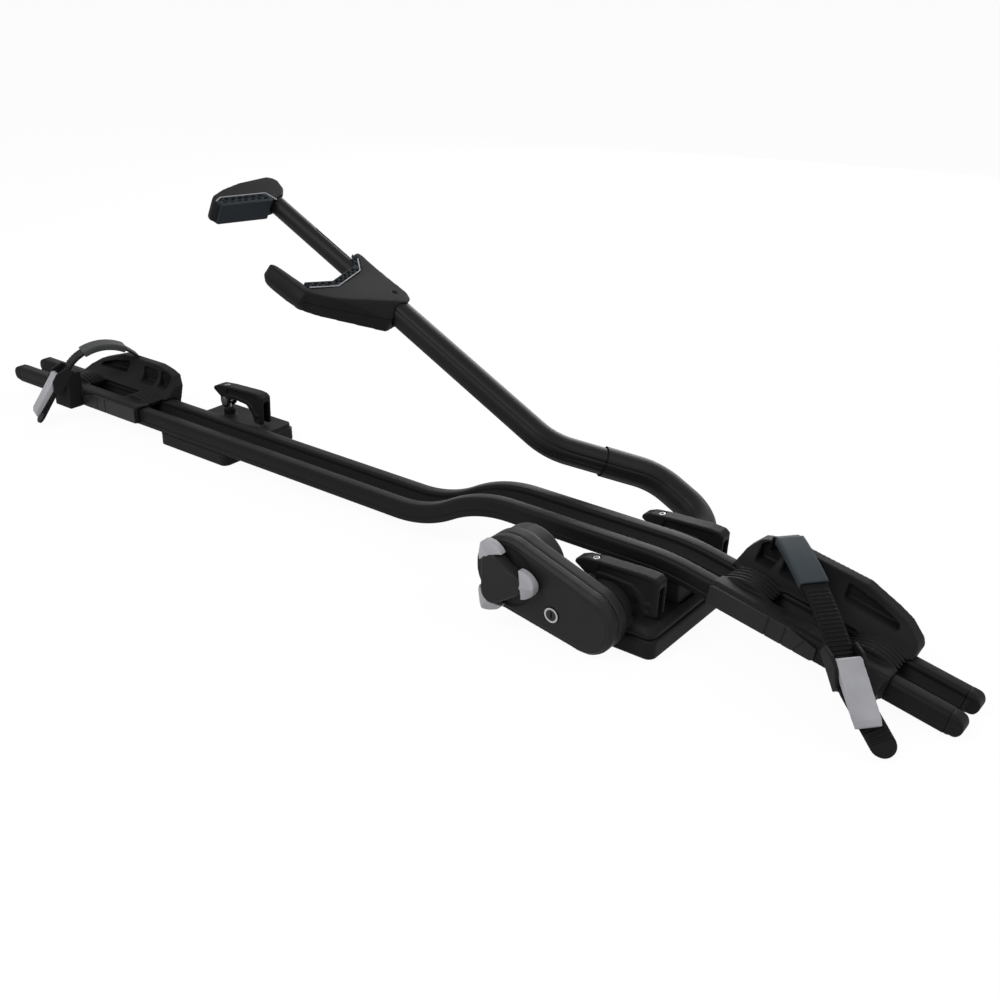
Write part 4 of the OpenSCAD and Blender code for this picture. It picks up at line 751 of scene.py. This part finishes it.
class CARRIER_OT_stage(bpy.types.Operator):
    """Camera, floor and studio light"""

    bl_idname = "carrier.stage"
    bl_label = "Stage"

    def execute(self, context):
        scene = context.scene
        setup = scene.carrier_stage
        self.add_camera(scene, setup)
        scene.view_settings.view_transform = "Standard"
        self.add_floor(scene, setup)
        self.add_lights(scene, setup)
        return {"FINISHED"}

    def add_camera(self, scene, setup):
        """Camera at the photograph's viewing angle."""
        camera = bpy.data.objects.new("carrier_camera", bpy.data.cameras.new("carrier_camera"))
        scene.collection.objects.link(camera)
        a, e = setup.azimuth, setup.elevation
        right = Vector((math.cos(a), math.sin(a), 0))
        forward = Vector((-math.sin(a) * math.cos(e), math.cos(a) * math.cos(e), -math.sin(e)))
        turn = Matrix((right, right.cross(forward), -forward)).transposed().to_4x4()
        camera.matrix_world = Matrix.Translation(setup.place) @ turn
        camera.data.lens = setup.lens
        camera.data.sensor_width = SENSOR
        camera.data.shift_x, camera.data.shift_y = SHIFT
        camera.data.clip_start = NEAREST
        scene.camera = camera

    def add_floor(self, scene, setup):
        """Floor that is white to the camera and keeps the shadow."""
        bm = bmesh.new()
        bmesh.ops.create_grid(bm, x_segments=1, y_segments=1, size=FLOOR_HALF)
        bmesh.ops.translate(bm, verts=bm.verts, vec=(0, 0, CAD_BOX[0].z - FLOOR_GAP))
        mesh = bpy.data.meshes.new("floor")
        bm.to_mesh(mesh)
        bm.free()
        floor = bpy.data.objects.new("floor", mesh)
        scene.collection.objects.link(floor)
        material, nodes, links, shader, _ = new_material("studio_floor")
        shader.inputs["Base Color"].default_value = (*colours().floor, 1)
        shader.inputs["Roughness"].default_value = 0.9
        shader.inputs["Specular IOR Level"].default_value = 0.1
        white = nodes.new("ShaderNodeEmission")
        share = nodes.new("ShaderNodeMath")
        share.operation = "MULTIPLY"
        share.inputs[1].default_value = setup.white
        links.new(seen_rays(nodes, links), share.inputs[0])
        mixed(nodes, links, share.outputs[0], shader, white, "Material Output")
        mesh.materials.append(material)

    def add_lights(self, scene, setup):
        """Even light from a world that looks white, and three soft lamps."""
        world = bpy.data.worlds.new("studio")
        world.use_nodes = True
        nodes, links = world.node_tree.nodes, world.node_tree.links
        back = nodes["Background"]
        back.inputs["Color"].default_value = (1, 1, 1, 1)
        back.inputs["Strength"].default_value = setup.world
        white = nodes.new("ShaderNodeBackground")
        white.inputs["Color"].default_value = (1, 1, 1, 1)
        mixed(nodes, links, seen_rays(nodes, links), back, white, "World Output")
        scene.world = world
        for name, (place, size, power) in LAMPS.items():
            lamp = bpy.data.lights.new(name, "AREA")
            lamp.shape = "DISK"
            lamp.size = size
            lamp.energy = power
            light = bpy.data.objects.new(name, lamp)
            scene.collection.objects.link(light)
            turn = (LAMP_AIM - Vector(place)).to_track_quat("-Z", "Y").to_matrix().to_4x4()
            light.matrix_world = Matrix.Translation(place) @ turn


class CARRIER_OT_finishes(bpy.types.Operator):
    """Materials, and the finish of every CAD node that stays as it is"""

    bl_idname = "carrier.finishes"
    bl_label = "Finishes"

    def execute(self, context):
        MATERIALS.update(make_materials())
        for node, piece in frame["nodes"].items():
            piece.data.materials.clear()
            piece.data.materials.append(finish_of(node))
        return {"FINISHED"}


class CARRIER_OT_rail(bpy.types.Operator):
    """Bent twin-ridge rail"""

    bl_idname = "carrier.rail"
    bl_label = "Rail"

    def execute(self, context):
        far_half = [(-y, z, radius) for y, z, radius in reversed(RAIL_HALF)]
        bm = bmesh.new()
        section = closed_loop(bm, rounded_loop(RAIL_HALF + far_half + RAIL_SLOT))
        sweep(bm, section, RAIL_LEGS)
        bmesh.ops.translate(bm, verts=bm.verts, vec=RAIL_START)
        add_piece("rail_drawn", mesh_from(bm, "rail"), "rail", DRAWN_EDGE)
        return {"FINISHED"}


def arm_frame():
    """Matrix of the arm's pivot: X along the arm, Y along the cross shaft."""
    turn = Matrix.Rotation(math.radians(ARM_ANGLE), 4, "Y") @ Matrix.Scale(-1, 4, (1, 0, 0))
    return Matrix.Translation((0, 0, PIVOT_HEIGHT)) @ turn


def arm_route():
    """Matrix of the arm's route: out along the cross shaft, then bending into the arm."""
    swap = Matrix(((0, 0, 1, 0), (1, 0, 0, 0), (0, 1, 0, 0), (0, 0, 0, 1)))
    return arm_frame() @ Matrix.Translation((0, SHAFT_REACH, 0)) @ swap


def arm_plane():
    """Matrix of the arm's plane: X along the arm, Z across it, Y up from it."""
    flat = Matrix(((1, 0, 0, 0), (0, 0, 1, 0), (0, 1, 0, 0), (0, 0, 0, 1)))
    return arm_frame() @ flat


def grooved_ring(bm, radius):
    """Circle with shallow grooves, in the plane X = 0."""
    ring = bmesh.ops.create_circle(
        bm, segments=RING_SEGMENTS, radius=radius * MM,
        matrix=Matrix.Rotation(math.radians(90), 4, "Y"))["verts"]
    for vert in ring:
        angle = math.degrees(math.atan2(vert.co.z, vert.co.y)) % 360
        for groove in GROOVES:
            off = abs(angle - groove) * math.pi / 180 * radius
            if off < GROOVE_HALF:
                vert.co *= 1 - GROOVE_DEPTH * math.sqrt(1 - (off / GROOVE_HALF) ** 2) / radius
    return list({edge for vert in ring for edge in vert.link_edges})


class CARRIER_OT_arm(bpy.types.Operator):
    """Bent arm: the lower arm and its tube"""

    bl_idname = "carrier.arm"
    bl_label = "Arm"

    def execute(self, context):
        route = arm_route()
        bm = bmesh.new()
        sweep(bm, grooved_ring(bm, LOWER_ARM_RADIUS), LOWER_ARM_LEGS)
        bmesh.ops.transform(bm, matrix=route, verts=bm.verts)
        self.add_cuff(bm)
        add_piece("lower_arm_drawn", mesh_from(bm, "lower_arm"), "lower_arm", DRAWN_EDGE)
        bm = bmesh.new()
        sweep(bm, grooved_ring(bm, TUBE_RADIUS), TUBE_LEGS)
        start = route_after(LOWER_ARM_LEGS[:3] + [TUBE_SEAT])
        bmesh.ops.transform(bm, matrix=route @ start, verts=bm.verts)
        add_piece("arm_tube_drawn", mesh_from(bm, "arm_tube"), "arm_tube", DRAWN_EDGE)
        return {"FINISHED"}

    def add_cuff(self, bm):
        """Collar where the lower arm takes the cross shaft."""
        place = Matrix.Translation((0, CUFF_SIDE * MM, PIVOT_HEIGHT))
        cuff = bmesh.ops.create_cone(
            bm, cap_ends=True, segments=CUFF_SEGMENTS, radius1=CUFF_RADIUS * MM,
            radius2=CUFF_RADIUS * MM, depth=CUFF_LENGTH * MM,
            matrix=place @ Matrix.Rotation(math.radians(90), 4, "X"))["verts"]
        edges = {edge for vert in cuff for edge in vert.link_edges}
        rims = [e for e in edges if len({len(face.verts) for face in e.link_faces}) > 1]
        bmesh.ops.bevel(
            bm, geom=rims, offset=CUFF_ROUNDING * MM, segments=3, profile=0.5,
            affect="EDGES", material=-1)


class CARRIER_OT_feet(bpy.types.Operator):
    """Front and rear foot, with the saddle below the rail"""

    bl_idname = "carrier.feet"
    bl_label = "Feet"

    def execute(self, context):
        arches = []
        for side in (-1, 1):
            arch = circle_line(
                0, side * ARCH_SIDE, ARCH_HEIGHT, ARCH_RADIUS, ARCH_START, ARCH_END)
            arches.append(scored(arch, ARCH_WIDTH, (0, -side * ARCH_DEPTH, 0)))
        moulded("front_base")
        moulded("base_cover", arches)
        moulded("rail_saddle")
        moulded("rear_foot")
        return {"FINISHED"}


class CARRIER_OT_levers(bpy.types.Operator):
    """Clamp levers with recessed sides"""

    bl_idname = "carrier.levers"
    bl_label = "Clamp levers"

    def execute(self, context):
        marks = []
        x, y, z = LEVER_DIMPLE
        for side in (-1, 1):
            reach = sorted(side * edge for edge in LEVER_SIDE)
            push = (0, -side * LEVER_DEPTH, 0)
            marks.append(pressed(LEVER_RECESS, reach, push, LEVER_EDGE))
            marks.append(scored([(x, side * y, z)], LEVER_DIMPLE_WIDTH, push))
        for end, pivot in LEVERS.items():
            place = Matrix.Translation(Vector(pivot) * MM)
            moulded(end + "_lever", marks, place)
            self.add_socket(end, place)
        return {"FINISHED"}

    def add_socket(self, end, place):
        """Bright socket that shows in the hole at the lever's top."""
        bm = bmesh.new()
        seat = place @ Matrix.Translation((0, 0, SOCKET_HEIGHT))
        bmesh.ops.create_cone(
            bm, cap_ends=True, segments=SOCKET_SEGMENTS, radius1=SOCKET_RADIUS,
            radius2=SOCKET_RADIUS, depth=SOCKET_LENGTH,
            matrix=seat @ Matrix.Rotation(math.radians(SOCKET_TILT), 4, "Y"))
        ends = [face for face in bm.faces if len(face.verts) == SOCKET_SEGMENTS]
        top = max(ends, key=lambda face: face.calc_center_median().z)
        rim = list(top.edges)
        bmesh.ops.inset_region(bm, faces=[top], thickness=SOCKET_WALL)
        bmesh.ops.inset_region(bm, faces=[top], thickness=SOCKET_DRAFT, depth=-SOCKET_DEPTH)
        bmesh.ops.bevel(
            bm, geom=rim, offset=SOCKET_ROUNDING, segments=3, profile=0.5,
            affect="EDGES", material=-1)
        name = end + "_lever_socket"
        add_detail(name, mesh_from(bm, name), BODY_OF[end + "_lever"], "steel", TURNED_EDGE)


class CARRIER_OT_knob(bpy.types.Operator):
    """Knob housing and the three-lobed knob"""

    bl_idname = "carrier.knob"
    bl_label = "Knob"

    def execute(self, context):
        moulded("knob_housing")
        moulded("housing_cover", [scored(self.rim_line(), RIM_WIDTH, (0, RIM_DEPTH, 0))])
        for node, solid in (("knob_core", self.core), ("knob_grips", self.grips)):
            voxel, rounds = SKINS[node]
            bm = remeshed(solid(), voxel * MM)
            softened(bm, rounds)
            add_piece(node + "_formed", mesh_from(bm, node), node)
        return {"FINISHED"}

    def rim_line(self):
        """Points along the housing's outline, set in a little."""
        spots = []
        for degrees in range(0, 361, 2):
            c, s = math.cos(math.radians(degrees)), math.sin(math.radians(degrees))
            x, z, radius = max(
                (HUB_END, KNOB_END), key=lambda end: end[0] * c + end[1] * s + end[2])
            spots.append((x + (radius - RIM_INSET) * c, FACE, z + (radius - RIM_INSET) * s))
        return line(spots)

    def core(self):
        """Dark core: three swellings with hollow sides between them, and a flat face."""
        bm = bmesh.new()
        rings = []
        for depth, scale in CORE_RINGS:
            ring = []
            for degrees in range(0, 360, 2):
                near = min(abs((degrees - lobe + 180) % 360 - 180) for lobe in KNOB_LOBES)
                swell = 0.5 + 0.5 * math.cos(math.radians(min(3 * near, 180)))
                radius = (CORE_WAIST + CORE_SWELL * swell ** CORE_POWER) * scale
                angle = math.radians(degrees)
                x = KNOB_END[0] + radius * math.cos(angle)
                z = KNOB_END[1] + radius * math.sin(angle)
                ring.append(bm.verts.new(Vector((x, FACE - depth, z)) * MM))
            rings.append(ring)
        for low, high in zip(rings, rings[1:]):
            for i in range(len(low)):
                bm.faces.new((low[i - 1], low[i], high[i], high[i - 1]))
        bm.faces.new(rings[0])
        bm.faces.new(rings[-1])
        return bm

    def grips(self):
        """Pale grips on the three lobes."""
        bm = bmesh.new()
        for lobe in KNOB_LOBES:
            self.add_grip(bm, math.cos(math.radians(lobe)), math.sin(math.radians(lobe)))
        return bm

    def add_grip(self, bm, c, s):
        """Adds a grip with a ridge along its lobe that falls off to both sides."""
        tops, feet = [], []
        for i in range(GRIP_STEPS + 1):
            out = i / GRIP_STEPS
            half = GRIP_HALF - GRIP_HALF_LOSS * out ** 2
            top_row, foot_row = [], []
            for j in range(GRIP_ACROSS + 1):
                side = 2 * j / GRIP_ACROSS - 1
                inner = GRIP_INNER - GRIP_INNER_LOSS * side * side
                u = inner + (GRIP_OUTER - GRIP_OUTER_LOSS * side * side - inner) * out
                v = half * side
                x = KNOB_END[0] + u * c - v * s
                z = KNOB_END[1] + u * s + v * c
                rise = GRIP_RISE - GRIP_SIDE_LOSS * abs(side) - GRIP_END_LOSS * out * out
                top_row.append(bm.verts.new(Vector((x, FACE - rise, z)) * MM))
                foot_row.append(bm.verts.new(Vector((x, FACE - GRIP_FOOT, z)) * MM))
            tops.append(top_row)
            feet.append(foot_row)
        for i in range(GRIP_STEPS):
            for j in range(GRIP_ACROSS):
                for rows in (tops, feet):
                    low, high = rows[i], rows[i + 1]
                    bm.faces.new((low[j], low[j + 1], high[j + 1], high[j]))
        border = [(0, j) for j in range(GRIP_ACROSS)]
        border += [(i, GRIP_ACROSS) for i in range(GRIP_STEPS)]
        border += [(GRIP_STEPS, j) for j in range(GRIP_ACROSS, 0, -1)]
        border += [(i, 0) for i in range(GRIP_STEPS, 0, -1)]
        for (i, j), (k, l) in zip(border, border[1:] + border[:1]):
            bm.faces.new((tops[i][j], tops[k][l], feet[k][l], feet[i][j]))


def off_parting(along, up, across):
    """Whether a point of the head is clear of the parting of its shells."""
    return abs(up) > PARTING


def on_limb(along, up, across):
    """Whether a point of the head is on the fixed jaw's limb, clear of the parting."""
    return along > LIMB_FROM and across < LIMB_SIDE and off_parting(along, up, across)


class CARRIER_OT_head(bpy.types.Operator):
    """Head of the arm and both jaws"""

    bl_idname = "carrier.head"
    bl_label = "Head and jaws"

    def execute(self, context):
        place = arm_plane()
        limb = eased(on_limb, LIMB_ROUNDS)
        dimple = pressed(self.dimple_line(), reach=(10, 20), push=(0, -1.6, 0), soft=2.2)
        moulded(
            "head_lower_shell", [limb], place,
            free=off_parting, swell=lambda bm: self.add_limb(bm, -1))
        moulded(
            "head_upper_shell", [limb, dimple], place, cuts=[self.chamfer()],
            free=off_parting, swell=lambda bm: self.add_limb(bm, 1))
        moulded("upper_jaw")
        moulded("lower_jaw_grip", slots(
            MOUTH_EDGE, rows=(2.4, 6.4), pitch=9, size=(5.6, 3.4),
            reach=(12.5, 15), push=(0, -5, 0)), place)
        moulded("upper_jaw_grip", slots(
            JAW_EDGE, rows=(7.4, 12.2), pitch=9.4, size=(6, 3.8),
            reach=(12.2, 15), push=(0, -5, 0)), place)
        moulded("jaw_rod", [scored(line(ROD_SLOT), width=3.4, push=(0, -2.6, -1.2))], place)
        mouth_lip = [(s - MOUTH_LIP_BACK, MOUTH_LIP_UP, y) for s, y in MOUTH_EDGE]
        bead("lower_grip_lip", mouth_lip, LIP_RADIUS, place, "arm", "pale_plastic")
        bead("upper_grip_lip", JAW_LIP, LIP_RADIUS, place, "jaw", "pale_plastic")
        return {"FINISHED"}

    def dimple_line(self):
        """Outline of the dimple in the head's side."""
        turns = [k * DIMPLE_TURN for k in range(DIMPLE_STEPS)]
        return [
            (DIMPLE[0] + DIMPLE_RADIUS * math.cos(t), DIMPLE[1] + DIMPLE_RADIUS * math.sin(t))
            for t in turns]

    def add_limb(self, bm, side):
        """Adds the upper or lower half of the fixed jaw's round limb."""
        limb = bmesh.new()
        start, end = [Vector(point) * MM for point in LIMB_LINE]
        add_rod(limb, start, end, LIMB_RADIUS, LIMB_TIP, segments=48)
        bmesh.ops.create_uvsphere(
            limb, u_segments=48, v_segments=24, radius=LIMB_TIP, matrix=Matrix.Translation(end))
        cut_off(limb, (0, side * PARTING_GAP, 0), (0, -side, 0))
        part = mesh_from(limb, "limb")
        bm.from_mesh(part)
        bpy.data.meshes.remove(part)

    def chamfer(self):
        """Point and normal of the chamfer's plane, which faces up."""
        a, b, c = [Vector(point) for point in CHAMFER]
        normal = (b - a).cross(c - a).normalized()
        return a, normal if normal.y > 0 else -normal


class CARRIER_OT_holders(bpy.types.Operator):
    """Wheel holders, their side panels and the rail's end caps"""

    bl_idname = "carrier.holders"
    bl_label = "Wheel holders"

    def execute(self, context):
        front = Matrix.Translation(Vector(FRONT_HOLDER) * MM)
        rear = Matrix.Translation(Vector(REAR_HOLDER) * MM)
        places = {
            "front": front @ Matrix.Rotation(math.radians(NOSE_ANGLE), 4, "Y"),
            "rear": rear @ Matrix.Scale(-1, 4, (1, 0, 0)),
        }
        for end, place in places.items():
            moulded(end + "_tray")
            moulded(end + "_side_panel", self.seams(), place)
            moulded(end + "_end_cap")
        return {"FINISHED"}

    def seams(self):
        """Marks: two upright seams and a slanted one on a side panel."""
        marks = []
        for seam in SEAMS:
            points = line([(x, PANEL_FACE, z) for x, z in seam], SEAM_STEP)
            marks.append(scored(points, SEAM_WIDTH, (0, SEAM_DEPTH, 0)))
        return marks


class CARRIER_OT_straps(bpy.types.Operator):
    """Toothed straps with their rim pads, buckles and pump levers"""

    bl_idname = "carrier.straps"
    bl_label = "Straps"

    def execute(self, context):
        for end in ("front", "rear"):
            for piece in ("strap_band", "rim_pad", "buckle", "pump_lever"):
                moulded(end + "_" + piece)
        return {"FINISHED"}


class CARRIER_PT_panel(bpy.types.Panel):
    """Steps that dress the carrier"""

    bl_idname = "CARRIER_PT_panel"
    bl_label = "Carrier"
    bl_space_type = "VIEW_3D"
    bl_region_type = "UI"
    bl_category = "Carrier"

    def draw(self, context):
        for operator in OPERATORS:
            self.layout.operator(operator.bl_idname)


OPERATORS = (
    CARRIER_OT_stage, CARRIER_OT_finishes, CARRIER_OT_rail, CARRIER_OT_arm, CARRIER_OT_feet,
    CARRIER_OT_levers, CARRIER_OT_knob, CARRIER_OT_head, CARRIER_OT_holders, CARRIER_OT_straps,
)
CLASSES = (*SETTINGS.values(), *OPERATORS, CARRIER_PT_panel)


def register():
    """Registers the classes and puts their settings on the scene."""
    for item in CLASSES:
        bpy.utils.register_class(item)
    for name, group in SETTINGS.items():
        setattr(bpy.types.Scene, "carrier_" + name, bpy.props.PointerProperty(type=group))


def unregister():
    """Takes the settings and the classes away again."""
    for name in SETTINGS:
        delattr(bpy.types.Scene, "carrier_" + name)
    for item in reversed(CLASSES):
        bpy.utils.unregister_class(item)


def main():
    """Dresses the carrier."""
    register()
    bpy.ops.carrier.stage()
    bpy.ops.carrier.finishes()
    bpy.ops.carrier.rail()
    bpy.ops.carrier.arm()
    bpy.ops.carrier.feet()
    bpy.ops.carrier.levers()
    bpy.ops.carrier.knob()
    bpy.ops.carrier.head()
    bpy.ops.carrier.holders()
    bpy.ops.carrier.straps()


if __name__ == "__main__":
    main()
